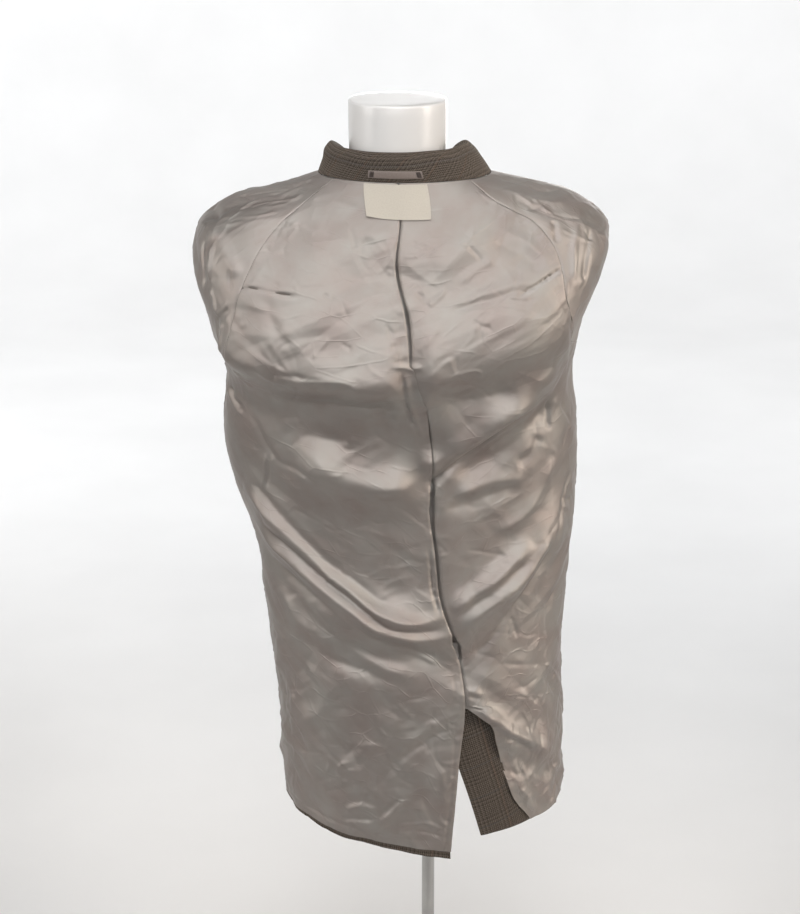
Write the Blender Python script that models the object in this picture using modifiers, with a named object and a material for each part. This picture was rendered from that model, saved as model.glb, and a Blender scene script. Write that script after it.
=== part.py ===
"""Raglan overcoat turned inside out and put on a limbless dress form, seen from behind.

The satin lining is the outer face and the checked tweed is the inner one. The sleeves are
pushed back inside the coat. Every cloth wall is cut from one surface, coat(turn, drop):
turn is in degrees from centre back, negative to the left and 180 at centre front, and
drop is in metres below the neck seam, measured down the centre back. The coat's back faces -Y.
"""

import math
from collections import namedtuple

import bmesh
import bpy
import numpy as np

MM = 0.001

# Cloth walls and seams
LINED_WALL = 2.2 * MM
COLLAR_WALL = 2.8 * MM
TRIM_WALL = 0.8 * MM
SEAM_GAP = 0.3 * MM
SLEEVE_SEAM_GAP = 1.2 * SEAM_GAP
NECK_SEAM_Z = 1.266

# Centre back pleat and vent
PLEAT_DEPTH = 5.5 * MM
PLEAT_LAP = 9 * MM
PLEAT_RISE = 26 * MM
VENT_TOP_DROP = 704 * MM
HEM_STRIP = 8 * MM

# Front closure
FACING_TURN = 28.0
FRONT_LAP_TURN = 8.0
FRONT_LAP_LIFT = 3.4 * MM

# Sleeve head: the mouth where the sleeve folds inside
MOUTH_HALF_TURN = 13.0
MOUTH_TOP_DROP = 140 * MM
MOUTH_BOTTOM_RISE = 34 * MM
MOUTH_ROLL = 8 * MM
MOUTH_BENDS = (60.0, 150.0)

# Dress form and stand
NECK_TOP_Z = 1.360
FORM_BOTTOM_Z = 0.500
FORM_EASE = 13 * MM
FORM_SQUARE = 2.2
FORM_RIM = 2 * MM
FORM_RIM_SHARE = 0.97
FORM_FOOT_SHARE = 0.8
POLE_RADIUS = 9 * MM
BASE_RADIUS = 150 * MM
BASE_HEIGHT = 10 * MM
BASE_EDGE = 3 * MM

# Grid of each piece: columns across it and rows down it
BACK_COLUMNS = 21
RAGLAN_ROWS = 12
SIDE_ROWS = 25
VENT_ROWS = 10
VENT_FACING_COLUMNS = 5
FRONT_COLUMNS = 6
FACING_COLUMNS = 3
SLEEVE_NECK_COLUMNS = 3
SLEEVE_HALF_COLUMNS = SLEEVE_NECK_COLUMNS + RAGLAN_ROWS
SLEEVE_CAP_ROWS = 6
ROLL_STEPS = 3
TUCK_STEPS = 1
COLLAR_COLUMNS = 28
LOOP_COLUMNS = 8
LOOP_ROWS = 2
LABEL_COLUMNS = 8
LABEL_ROWS = 4
FORM_SEGMENTS = 24
FORM_STEPS = 2
FOLD_STEPS = 14

# Finishes of the cloths, the form and the stand
Finish = namedtuple("Finish", "name colour roughness metallic")
LINING_SATIN = Finish("lining_satin", (0.36, 0.32, 0.285), 0.38, 0.0)
CHECKED_TWEED = Finish("checked_tweed", (0.105, 0.085, 0.072), 0.92, 0.0)
LOOP_TAPE = Finish("loop_tape", (0.17, 0.125, 0.105), 0.6, 0.0)
LABEL_CLOTH = Finish("label_cloth", (0.83, 0.78, 0.68), 0.7, 0.0)
WHITE_SHELL = Finish("white_shell", (0.86, 0.86, 0.85), 0.35, 0.0)
CHROME_STEEL = Finish("chrome_steel", (0.72, 0.72, 0.71), 0.15, 1.0)

# The coat's sections, in millimetres: how far below the neck seam each one lies at the back,
# sides and front, how far it reaches, and how square its outline is (2 is an ellipse)
Ring = namedtuple("Ring", "name drop side_drop front_drop left right back front square")
COAT_RINGS = (
    Ring("neck seam", 0, 0, 50, -146, 78, -82, 82, 2.0),
    Ring("collarbone", 50, 15, 88, -192, 141, -112, 100, 2.2),
    Ring("shoulder", 98, 32, 125, -256, 193, -134, 113, 2.4),
    Ring("shoulder tip", 142, 66, 160, -301, 229, -148, 122, 2.6),
    Ring("sleeve head", 185, 115, 195, -309, 224, -154, 127, 2.7),
    Ring("sleeve low", 232, 185, 235, -292, 199, -152, 129, 2.6),
    Ring("armpit", 282, 254, 282, -269, 187, -142, 128, 2.4),
    Ring("chest", 335, 322, 335, -275, 195, -130, 126, 2.3),
    Ring("waist", 420, 415, 420, -262, 197, -121, 123, 2.2),
    Ring("small of back", 500, 500, 500, -235, 192, -120, 122, 2.2),
    Ring("hip", 590, 590, 590, -223, 184, -125, 124, 2.2),
    Ring("seat", 700, 700, 700, -212, 182, -128, 124, 2.2),
    Ring("skirt", 800, 800, 800, -204, 185, -129, 124, 2.2),
    Ring("below hem", 940, 940, 940, -190, 184, -130, 124, 2.2),
)

# Seam lines and free edges on the coat: millimetres of drop, degrees of turn
Place = namedtuple("Place", "drop turn")
CENTRE_BACK = (
    Place(0, -5), Place(70, -5), Place(173, 2), Place(238, 5), Place(324, 9.5), Place(465, 7.5),
    Place(548, 9), Place(625, 16), Place(700, 18), Place(789, 14.5), Place(925, 10),
)
VENT_LINING_EDGE = (
    Place(704, 19), Place(725, 27), Place(760, 30.5), Place(808, 34.5), Place(848, 39), Place(886, 49),
)
VENT_FACING_EDGE = (Place(709, 9), Place(789, 14.5), Place(841, 19), Place(895, 23.5))
RAGLAN_BACK_LEFT = (
    Place(0, -53), Place(40, -54), Place(92, -47.5), Place(144, -43), Place(182, -44), Place(220, -48),
    Place(262, -62), Place(286, -90),
)
RAGLAN_BACK_RIGHT = (
    Place(0, 47), Place(35, 44), Place(70, 48.5), Place(105, 47.5), Place(145, 44.5), Place(182, 46.5),
    Place(215, 54), Place(246, 66), Place(263, 90),
)
RAGLAN_FRONT_LEFT = (
    Place(0, -124), Place(60, -129), Place(120, -133), Place(170, -133), Place(215, -127),
    Place(262, -112), Place(286, -90),
)
RAGLAN_FRONT_RIGHT = (
    Place(0, 124), Place(60, 129), Place(120, 133), Place(170, 132), Place(212, 124),
    Place(246, 109), Place(263, 90),
)
SIDE_HEM_DROP = 868 * MM
FRONT_HEM_DROP = 880 * MM
LABEL_LEFT_EDGE = (Place(2, -27), Place(42, -20.5))
LABEL_RIGHT_EDGE = (Place(2, 14), Place(42, 9))
LOOP_TURNS = (-24.5, 13.0)
LOOP_WAYS = (5.0, 14.0)

# The largest folds, in millimetres as seen from behind: three points of a curve (x across from
# the pole, z above the floor), how far the fold stands out and the half width of its soft side.
# A fold fades round the side, and at both ends of its curve
Fold = namedtuple("Fold", "name x1 z1 x2 z2 x3 z3 height width")
BACK_FOLDS = (
    Fold("blade shelf left", -243, 1050, -142, 1031, -30, 1012, 8, 28),
    Fold("hollow below shelf", -235, 985, -140, 955, -15, 965, -9, 28),
    Fold("middle pouch left", -180, 910, -90, 838, -8, 880, 9, 24),
    Fold("armpit fold right", -1, 930, 100, 975, 170, 1040, 12, 20),
    Fold("hollow under armpit fold", 20, 880, 100, 920, 165, 985, -9, 20),
    Fold("swag left", -250, 880, -140, 650, 25, 688, 13, 20),
    Fold("swag right", 26, 686, 110, 715, 186, 835, 11, 20),
    Fold("hollow below swag", -150, 655, -50, 618, 90, 636, -7, 22),
    Fold("vent drag", 47, 559, 121, 511, 176, 466, 10, 18),
    Fold("hollow under vent drag", 95, 500, 135, 475, 172, 430, -6, 18),
)
FOLD_SIDE_FADE = 0.35
FOLD_END = 0.04
FOLD_END_POWER = 0.6
FRONT_FOLDS = (
    Fold("front drag left", -206, 960, -156, 800, -116, 520, 8, 18),
    Fold("front drag right", 159, 970, 134, 800, 114, 520, 8, 18),
)

# The pushed-in sleeves below the mouth, in millimetres: heights of the wall next to the form and
# of the wall next to the coat, where each wall hangs and how flat it hangs (2 is an ellipse), and
# half the depth from front to back
Tuck = namedtuple(
    "Tuck", "name inner_z outer_z left_in left_out left_square right_in right_out right_square depth"
)
SLEEVE_TUCKS = (
    Tuck("throat", 1128, 1006, -215, -252, 2.0, 148, 175, 2.0, 46),
    Tuck("upper arm", 990, 950, -200, -240, 2.6, 142, 178, 2.0, 56),
    Tuck("elbow", 800, 800, -188, -224.5, 3.2, 143, 176, 2.0, 50),
    Tuck("forearm", 670, 670, -180, -211, 3.2, 150, 170, 2.0, 46),
    Tuck("cuff", 565, 565, -173.5, -200, 3.2, 149, 168, 2.0, 42),
)

# The collar above the neck seam, in millimetres: it stands up, folds over and falls inside
CollarRow = namedtuple("CollarRow", "name way middle half back front back_z side_z front_z")
COLLAR_ROWS = (
    CollarRow("stand foot", 0, -34, 111.7, -81.8, 81.3, 1266.4, 1266.5, 1217.4),
    CollarRow("stand middle", 17, -37, 103, -80.5, 76, 1284, 1284, 1233),
    CollarRow("stand top", 33, -40.5, 95, -77.5, 71.5, 1298, 1299, 1248),
    CollarRow("fold", 40, -41.5, 87.5, -73, 67, 1303.5, 1305, 1253.5),
    CollarRow("fall top", 47, -42.5, 79, -68.5, 62.5, 1298, 1301, 1248),
    CollarRow("fall edge", 66, -43, 73, -68.5, 62, 1280, 1280, 1238),
)
COLLAR_WAYS = (0, 8, 16, 25, 32, 36, 40, 44, 48, 57, 66)
COLLAR_END_TURN = 171.0

# The dress form, in millimetres: half width about its leaning centre line, and depths
FormRow = namedtuple("FormRow", "name half back front back_z side_z front_z")
FORM_NECK = (
    FormRow("neck foot", 64, -64.5, 57, 1300, 1300, 1262),
    FormRow("neck root", 64.5, -65, 57, 1278, 1278, 1238),
)
FORM_BODY = (
    FormRow("shoulder", 170, -112, 88, 1172, 1216, 1148),
    FormRow("armhole", 165, -114, 98, 1110, 1130, 1090),
    FormRow("bust", 163, -112, 106, 1040, 1040, 1040),
    FormRow("under bust", 160, -105, 102, 950, 950, 950),
    FormRow("waist", 150, -90, 92, 820, 820, 820),
    FormRow("hip", 158, -98, 97, 690, 690, 690),
    FormRow("seat", 156, -99, 94, 600, 600, 600),
    FormRow("lower edge", 145, -90, 86, 520, 520, 520),
)
FORM_TOP_CENTRE = -43 * MM
FORM_LOW_CENTRE = -10 * MM
FORM_UPRIGHT_Z = 1.250
FORM_SHOULDER_DROPS = (0.0, 40 * MM)
FORM_SHOULDER_EASES = (4 * MM, 0.8 * MM)


def curve(knots, values, at):
    """Values on a smooth curve through the knots."""
    knots = np.asarray(knots, float)
    values = np.asarray(values, float)
    slopes = np.gradient(values, knots)
    i = np.clip(np.searchsorted(knots, at) - 1, 0, len(knots) - 2)
    step = knots[i + 1] - knots[i]
    s = (at - knots[i]) / step
    rise = s * s * (3 - 2 * s)
    bend = s * (1 - s) * step * ((1 - s) * slopes[i] - s * slopes[i + 1])
    return values[i] + (values[i + 1] - values[i]) * rise + bend


def ring_size(column, drop):
    """One column of the coat's sections at a drop, in metres."""
    return MM * curve([r.drop * MM for r in COAT_RINGS], [getattr(r, column) for r in COAT_RINGS], drop)


def outline(turn, middle, half, back, front, square=2.0):
    """x and y of a section's rounded outline."""
    s, c = np.sin(np.radians(turn)), np.cos(np.radians(turn))
    reach = (np.abs(s) ** square + np.abs(c) ** square) ** (-1 / square)
    depth = np.where(c > 0, back, -front)
    return middle + half * reach * s, depth * reach * c


def between_levels(turn, back, side, front):
    """A height that changes smoothly from the back round the side to the front."""
    c = np.cos(np.radians(turn))
    return side + (np.where(c > 0, back, front) - side) * c * c


def coat_base(turn, drop):
    """The coat's outer face without its folds."""
    left, right = ring_size("left", drop), ring_size("right", drop)
    square = ring_size("square", drop) / MM
    back, front = ring_size("back", drop), ring_size("front", drop)
    x, y = outline(turn, (left + right) / 2, (right - left) / 2, back, front, square)
    fall = between_levels(turn, drop, ring_size("side_drop", drop), ring_size("front_drop", drop))
    return np.stack([x, y, NECK_SEAM_Z - fall], -1)


def unit(vectors):
    return vectors / np.linalg.norm(vectors, axis=-1, keepdims=True)


def outward(surface, turn, drop):
    """Unit normals of a surface of turn and drop, pointing out of the coat."""
    turn_step, drop_step = 0.2, 1 * MM
    across = surface(turn + turn_step, drop) - surface(turn - turn_step, drop)
    down = surface(turn, drop + drop_step) - surface(turn, drop - drop_step)
    return unit(np.cross(down, across))


def fold_height(fold, x, z):
    """How far one fold moves the cloth out at places seen from behind."""
    share = np.linspace(0, 1, FOLD_STEPS + 1)[:, None]
    ends = np.array([[fold.x1, fold.z1], [fold.x2, fold.z2], [fold.x3, fold.z3]]) * MM
    line = (1 - share) ** 2 * ends[0] + 2 * share * (1 - share) * ends[1] + share**2 * ends[2]
    places = np.stack([x, z], -1)[..., None, :]
    step = line[1:] - line[:-1]
    along = np.clip(((places - line[:-1]) * step).sum(-1) / (step**2).sum(-1), 0, 1)
    away = np.linalg.norm(places - line[:-1] - along[..., None] * step, axis=-1)
    nearest = away.argmin(-1)[..., None]
    way = (nearest + np.take_along_axis(along, nearest, -1))[..., 0] / len(step)
    distance = np.take_along_axis(away, nearest, -1)[..., 0]
    fade = np.sin(np.pi * np.clip(way, FOLD_END, 1 - FOLD_END)) ** FOLD_END_POWER
    return fold.height * MM * fade * np.exp(-((distance / (fold.width * MM)) ** 2))


def coat(turn, drop):
    """The coat's outer face with its largest folds."""
    turn, drop = np.broadcast_arrays(np.asarray(turn, float), np.asarray(drop, float))
    flat = coat_base(turn, drop)
    c = np.cos(np.radians(turn))
    lift = np.zeros(turn.shape)
    for folds, facing in ((BACK_FOLDS, c), (FRONT_FOLDS, -c)):
        shown = np.clip(facing / FOLD_SIDE_FADE, 0, 1)
        for fold in folds:
            lift += shown * fold_height(fold, flat[..., 0], flat[..., 2])
    return flat + lift[..., None] * outward(coat_base, turn, drop)


def trace(places, count):
    """Turn and drop at equal steps down a seam line."""
    drop = np.linspace(places[0].drop, places[-1].drop, 400) * MM
    turn = curve([p.drop * MM for p in places], [p.turn for p in places], drop)
    points = coat_base(turn, drop)
    length = np.concatenate([[0], np.cumsum(np.linalg.norm(np.diff(points, axis=0), axis=-1))])
    at = np.linspace(0, length[-1], count + 1)
    return np.interp(at, length, turn), np.interp(at, length, drop)


def straight(turn, top, bottom, count):
    """Turn and drop down a line of one turn."""
    return np.full(count + 1, float(turn)), np.linspace(top, bottom, count + 1)


def joined(first, second):
    """Two lines of turn and drop as one, the second starting where the first ends."""
    return tuple(np.concatenate([a, b[1:]]) for a, b in zip(first, second))


def beside(line, gap):
    """A line of turn and drop moved over the cloth, to the right as seen from outside the coat."""
    turn, drop = line
    here = coat(turn, drop)
    tangent = unit(np.gradient(here, axis=0))
    sideways = gap * np.cross(outward(coat, turn, drop), tangent)
    turn_step, drop_step = 0.2, 1 * MM
    per_turn = (coat(turn + turn_step, drop) - here) / turn_step
    per_drop = (coat(turn, drop + drop_step) - here) / drop_step
    moves = [
        np.linalg.lstsq(np.stack([a, b], -1), s, rcond=None)[0]
        for a, b, s in zip(per_turn, per_drop, sideways)
    ]
    moves = np.array(moves)
    return turn + moves[:, 0], drop + moves[:, 1]


def grid_between(left, right, columns):
    """Turn and drop over a panel, from its left edge to its right edge."""
    share = np.linspace(0, 1, columns + 1)
    turn = left[0][:, None] + (right[0] - left[0])[:, None] * share
    drop = left[1][:, None] + (right[1] - left[1])[:, None] * share
    return turn, drop


def add_material(mesh, finish):
    """A material of the mesh's own, with one of the finishes."""
    made = bpy.data.materials.new(f"{mesh.name}_{finish.name}")
    made.use_nodes = True
    shader = made.node_tree.nodes["Principled BSDF"]
    shader.inputs["Base Color"].default_value = (*finish.colour, 1.0)
    shader.inputs["Roughness"].default_value = finish.roughness
    shader.inputs["Metallic"].default_value = finish.metallic
    mesh.materials.append(made)


def add_part(name, bm, finish, smooth_angle=50):
    """A named object of the coat's collection, from a finished bmesh."""
    mesh = bpy.data.meshes.new(name)
    bmesh.ops.recalc_face_normals(bm, faces=bm.faces)
    bm.to_mesh(mesh)
    bm.free()
    mesh.shade_smooth()
    mesh.set_sharp_from_angle(angle=math.radians(smooth_angle))
    add_material(mesh, finish)
    part = bpy.data.objects.new(name, mesh)
    COLLECTION.objects.link(part)
    return part


def add_wall(name, outer, inner, finish):
    """A closed cloth wall: a grid laid on the outer points, and extruded to the inner ones."""
    rows, columns = outer.shape[0] - 1, outer.shape[1] - 1
    bm = bmesh.new()
    bmesh.ops.create_grid(bm, x_segments=columns, y_segments=rows, size=1)
    place = bm.verts.layers.int.new("place")
    for vert in bm.verts:
        row = round((1 - vert.co.y) / 2 * rows)
        column = round((vert.co.x + 1) / 2 * columns)
        vert[place] = row * (columns + 1) + column
        vert.co = outer[row, column]
    lifted = bmesh.ops.extrude_face_region(bm, geom=bm.faces[:], use_keep_orig=True)
    inner_points = inner.reshape(-1, 3)
    for vert in lifted["geom"]:
        if isinstance(vert, bmesh.types.BMVert):
            vert.co = inner_points[vert[place]]
    return add_part(name, bm, finish)


def add_panel(name, left, right, columns, finish, lift=0.0, wall=LINED_WALL):
    """A piece of the coat between two edges. lift is how far it is raised: one height, or a
    function of the turn and of the distance in metres from the left edge."""
    turn, drop = grid_between(left, right, columns)
    outer = coat(turn, drop)
    normals = outward(coat, turn, drop)
    steps = np.linalg.norm(np.diff(outer, axis=1), axis=-1)
    across = np.concatenate([np.zeros((len(outer), 1)), np.cumsum(steps, axis=1)], axis=1)
    height = lift(turn, across) if callable(lift) else np.full(turn.shape, lift)
    outer = outer + height[..., None] * normals
    add_wall(name, outer, outer - wall * normals, finish)


def soft_step(share):
    share = np.clip(share, 0, 1)
    return share * share * (3 - 2 * share)


def side_line(side, top, half_gap_sign):
    """The side seam from the armhole to the hem, half a seam gap to one side."""
    half_gap = half_gap_sign * SEAM_GAP / 2
    depth = np.mean([r.front * MM for r in COAT_RINGS])
    return straight(side * 90 + math.degrees(half_gap / depth), top, SIDE_HEM_DROP, SIDE_ROWS)


def outer_edge(raglan, side, half_gap_sign):
    """A panel's raglan seam and, below the armhole, its side seam."""
    seam = trace(raglan, RAGLAN_ROWS)
    return joined(seam, side_line(side, raglan[-1].drop * MM, half_gap_sign))


def pleat_tuck(_turn, across):
    """The right back dips towards its centre edge, where the left back lies over it."""
    return -PLEAT_DEPTH * (1 - soft_step((across - PLEAT_LAP) / PLEAT_RISE))


def under_lap(line):
    """The right back's centre edge, moved to the left under the left back."""
    turn, drop = line
    width = ring_size("right", drop) - ring_size("left", drop)
    return turn - np.degrees(PLEAT_LAP / (width / 2)), drop


def back_edges():
    """The centre edges of the left back and of the right back."""
    rows = RAGLAN_ROWS + SIDE_ROWS
    left_back = trace(CENTRE_BACK, rows)
    sewn = [p for p in CENTRE_BACK if p.drop * MM < VENT_TOP_DROP]
    sewn_line = under_lap(trace(sewn, rows - VENT_ROWS - 1))
    lining_line = trace(VENT_LINING_EDGE, VENT_ROWS)
    right_back = tuple(np.concatenate(pair) for pair in zip(sewn_line, lining_line))
    return left_back, right_back


def add_back():
    """Both back linings, the tweed edge at the left hem and the tweed facing in the vent."""
    left_centre, right_centre = back_edges()
    left_side = outer_edge(RAGLAN_BACK_LEFT, -1, 1)
    right_side = outer_edge(RAGLAN_BACK_RIGHT, 1, -1)
    rows = len(left_centre[1]) - 1
    strip_top = [(turn[rows], drop[rows] - HEM_STRIP) for turn, drop in (left_side, left_centre)]
    for line, (_, drop) in zip((left_side, left_centre), strip_top):
        line[1][rows] = drop - SEAM_GAP
    add_panel("back_left", left_side, left_centre, BACK_COLUMNS, LINING_SATIN)
    add_panel("back_right", right_centre, right_side, BACK_COLUMNS, LINING_SATIN, lift=pleat_tuck)

    strip = [
        (np.array([turn, turn]), np.array([drop, drop + HEM_STRIP])) for turn, drop in strip_top
    ]
    add_panel("back_hem_left", strip[0], strip[1], BACK_COLUMNS, CHECKED_TWEED)

    sewn = beside(tuple(line[-VENT_ROWS - 1:] for line in right_centre), -2 * SEAM_GAP)
    free = trace(VENT_FACING_EDGE, VENT_ROWS)
    add_panel("vent_facing", free, sewn, VENT_FACING_COLUMNS, CHECKED_TWEED, lift=-PLEAT_DEPTH)


def front_line(turn, rows):
    return straight(turn, 0.0, FRONT_HEM_DROP, rows)


def lap_lift(turn, _across):
    """The right facing rises over the left one where they lap."""
    return FRONT_LAP_LIFT * soft_step((turn - (180 - FACING_TURN)) / (FACING_TURN - FRONT_LAP_TURN))


def add_front():
    """Each front's lining, and the tweed facing along its front edge."""
    rows = RAGLAN_ROWS + SIDE_ROWS
    seam_turn = math.degrees(SEAM_GAP / (COAT_RINGS[0].front * MM))
    facing = 180 - FACING_TURN
    left_side = outer_edge(RAGLAN_FRONT_LEFT, -1, -1)
    right_side = outer_edge(RAGLAN_FRONT_RIGHT, 1, 1)
    left_seam, right_seam = front_line(-facing + seam_turn, rows), front_line(facing - seam_turn, rows)
    add_panel("front_left", left_seam, left_side, FRONT_COLUMNS, LINING_SATIN)
    add_panel("front_right", right_side, right_seam, FRONT_COLUMNS, LINING_SATIN)
    left_inner, right_inner = front_line(-facing, rows), front_line(facing, rows)
    past = 180 + FRONT_LAP_TURN
    left_free, right_free = front_line(-past, rows), front_line(past, rows)
    add_panel("facing_left", left_free, left_inner, FACING_COLUMNS, CHECKED_TWEED)
    add_panel("facing_right", right_inner, right_free, FACING_COLUMNS, CHECKED_TWEED, lift=lap_lift)


def sleeve_root(raglan, side, gap):
    """The sleeve's sewn edge: from the shoulder line along the neck, then down the raglan seam."""
    seam = beside(trace(raglan, RAGLAN_ROWS), gap)
    neck_turn = np.linspace(side * 90, seam[0][0], SLEEVE_NECK_COLUMNS + 1)
    neck_drop = np.linspace(0, seam[1][0], SLEEVE_NECK_COLUMNS + 1)
    return joined((neck_turn, neck_drop), seam)


def mouth_edge(side, facing, bottom):
    """Half of the sleeve's mouth, from its top to its bottom. facing is 1 behind, -1 in front."""
    share = np.linspace(0, 1, SLEEVE_HALF_COLUMNS + 1)
    turn = side * (90 - facing * MOUTH_HALF_TURN * np.sin(np.pi * share))
    drop = MOUTH_TOP_DROP + (bottom - MOUTH_TOP_DROP) * (1 - np.cos(np.pi * share)) / 2
    return turn, drop


def sleeve_cap(raglan, side, facing, gap):
    """Turn and drop over half a sleeve head, rows from the seam to the mouth and columns from the
    shoulder line to the underarm."""
    root = sleeve_root(raglan, side, gap)
    mouth = mouth_edge(side, facing, raglan[-1].drop * MM - MOUTH_BOTTOM_RISE)
    share = np.linspace(0, 1, SLEEVE_CAP_ROWS + 1)[:, None]
    return root[0] + (mouth[0] - root[0]) * share, root[1] + (mouth[1] - root[1]) * share


def tuck_ring(tuck, side, angle):
    """One section of the pushed-in sleeve, from the wall next to the form round by the back."""
    if side < 0:
        inner, outer, square = tuck.left_in, tuck.left_out, tuck.left_square
    else:
        inner, outer, square = tuck.right_in, tuck.right_out, tuck.right_square
    half = (outer - inner) / 2
    x, y = outline(np.degrees(angle) - 90, inner + half, half, -tuck.depth, tuck.depth, square)
    share = (x - inner) / (outer - inner)
    z = tuck.inner_z + (tuck.outer_z - tuck.inner_z) * share
    return MM * np.stack([x, y, z], -1)


def smooth_rows(rows, steps):
    """More rows between given rows of points, on smooth curves through them."""
    rows = np.asarray(rows)
    index = np.arange(len(rows), dtype=float)
    at = np.linspace(0, len(rows) - 1, (len(rows) - 1) * steps + 1)
    flat = rows.reshape(len(rows), -1)
    found = [curve(index, flat[:, k], at) for k in range(flat.shape[1])]
    return np.stack(found, -1).reshape(len(at), *rows.shape[1:])


def around_step(ring):
    """From each point's neighbour before it to the one after it, round a closed ring."""
    return np.roll(ring, -1, axis=-2) - np.roll(ring, 1, axis=-2)


def add_sleeve(name, side, raglans):
    """The back and front halves of one sleeve, cut from one whole tube so that they meet: its
    cap on the coat's surface, the roll at its mouth and the part that hangs inside."""
    back = sleeve_cap(raglans[0], side, 1, side * SLEEVE_SEAM_GAP)
    front = sleeve_cap(raglans[1], side, -1, -side * SLEEVE_SEAM_GAP)
    turn, drop = (np.concatenate([b, f[:, -2:0:-1]], axis=1) for b, f in zip(back, front))
    cap, out = coat(turn, drop), outward(coat, turn, drop)
    inward = side * unit(np.cross(out[-1], around_step(cap[-1])))
    angle = np.linspace(0, 2 * np.pi, turn.shape[1], endpoint=False)
    bend = np.radians(MOUTH_BENDS[0] + (MOUTH_BENDS[1] - MOUTH_BENDS[0]) * (1 - np.cos(angle)) / 2)[:, None]
    roll = [
        cap[-1] + MOUTH_ROLL * (np.sin(a) * inward - (1 - np.cos(a)) * out[-1])
        for a in (bend * step / ROLL_STEPS for step in range(1, ROLL_STEPS + 1))
    ]
    tucks = [tuck_ring(tuck, side, angle) for tuck in SLEEVE_TUCKS]
    whole = np.concatenate([cap, roll[:-1], smooth_rows([roll[-1]] + tucks, TUCK_STEPS)])
    normals = side * unit(np.cross(around_step(whole), np.gradient(whole, axis=0)))
    normals[0] = out[0]
    inner = whole - LINED_WALL * normals
    half = SLEEVE_HALF_COLUMNS
    for suffix, picked in (("back", range(half + 1)), ("front", range(half, 2 * half + 1))):
        columns = [c % (2 * half) for c in picked]
        faces = []
        for grid in (whole[:, columns], inner[:, columns]):
            for edge, neighbour in ((0, 1), (-1, -2)):
                grid[:, edge] += SLEEVE_SEAM_GAP / 2 * unit(grid[:, neighbour] - grid[:, edge])
            faces.append(grid)
        add_wall(f"sleeve_{name}_{suffix}", faces[0], faces[1], LINING_SATIN)


def collar(turn, way):
    """The collar's shown face. way is in millimetres from the foot of the stand up and over it."""
    knots = [row.way for row in COLLAR_ROWS]
    size = {c: MM * curve(knots, [getattr(r, c) for r in COLLAR_ROWS], way) for c in CollarRow._fields[2:]}
    x, y = outline(turn, size["middle"], size["half"], size["back"], size["front"])
    z = between_levels(turn, size["back_z"], size["side_z"], size["front_z"])
    return np.stack([x, y, z], -1)


def collar_out(turn, way):
    turn_step, way_step = 0.5, 0.2
    across = collar(turn + turn_step, way) - collar(turn - turn_step, way)
    up = collar(turn, way + way_step) - collar(turn, way - way_step)
    return unit(np.cross(across, up))


def add_collar():
    """The folded collar, and the hanging loop sewn across its stand."""
    turns = np.linspace(-COLLAR_END_TURN, COLLAR_END_TURN, COLLAR_COLUMNS + 1)
    turn, way = np.meshgrid(turns, COLLAR_WAYS)
    face, out = collar(turn, way), collar_out(turn, way)
    add_wall("collar", face, face - COLLAR_WALL * out, CHECKED_TWEED)

    turn, way = np.meshgrid(np.linspace(*LOOP_TURNS, LOOP_COLUMNS + 1), np.linspace(*LOOP_WAYS, LOOP_ROWS + 1))
    face, out = collar(turn, way), collar_out(turn, way)
    add_wall("hanging_loop", face + (SEAM_GAP + TRIM_WALL) * out, face + SEAM_GAP * out, LOOP_TAPE)


def add_label():
    """The blank woven label under the collar, laid on the back and moved out."""
    left, right = trace(LABEL_LEFT_EDGE, LABEL_ROWS), trace(LABEL_RIGHT_EDGE, LABEL_ROWS)
    lift = SEAM_GAP + TRIM_WALL
    add_panel("neck_label", left, right, LABEL_COLUMNS, LABEL_CLOTH, lift=lift, wall=TRIM_WALL)


def form_centre(z):
    """The form leans to the left as it rises, as far as its upright neck."""
    share = (z - FORM_BOTTOM_Z) / (FORM_UPRIGHT_Z - FORM_BOTTOM_Z)
    return FORM_LOW_CENTRE + (FORM_TOP_CENTRE - FORM_LOW_CENTRE) * np.clip(share, 0, 1)


def form_ring(row, turn):
    z = MM * between_levels(turn, row.back_z, row.side_z, row.front_z)
    x, y = outline(turn, form_centre(z), row.half * MM, row.back * MM, row.front * MM, FORM_SQUARE)
    return np.stack([x, y, z], -1)


def level_ring(row, turn, z, shrink):
    """A level ring of the form, drawn in from one of its rows."""
    z = z / MM
    sizes = {c: getattr(row, c) * shrink for c in ("half", "back", "front")}
    return form_ring(row._replace(back_z=z, side_z=z, front_z=z, **sizes), turn)


def shoulder_ring(turn, drop, ease):
    """The form where it carries the coat: the coat's own points, moved in to clear its wall."""
    clearance = LINED_WALL + SEAM_GAP + ease + FORM_EASE * np.cos(np.radians(turn)) ** 2
    return coat_base(turn, drop) - clearance[..., None] * outward(coat_base, turn, drop)


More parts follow.
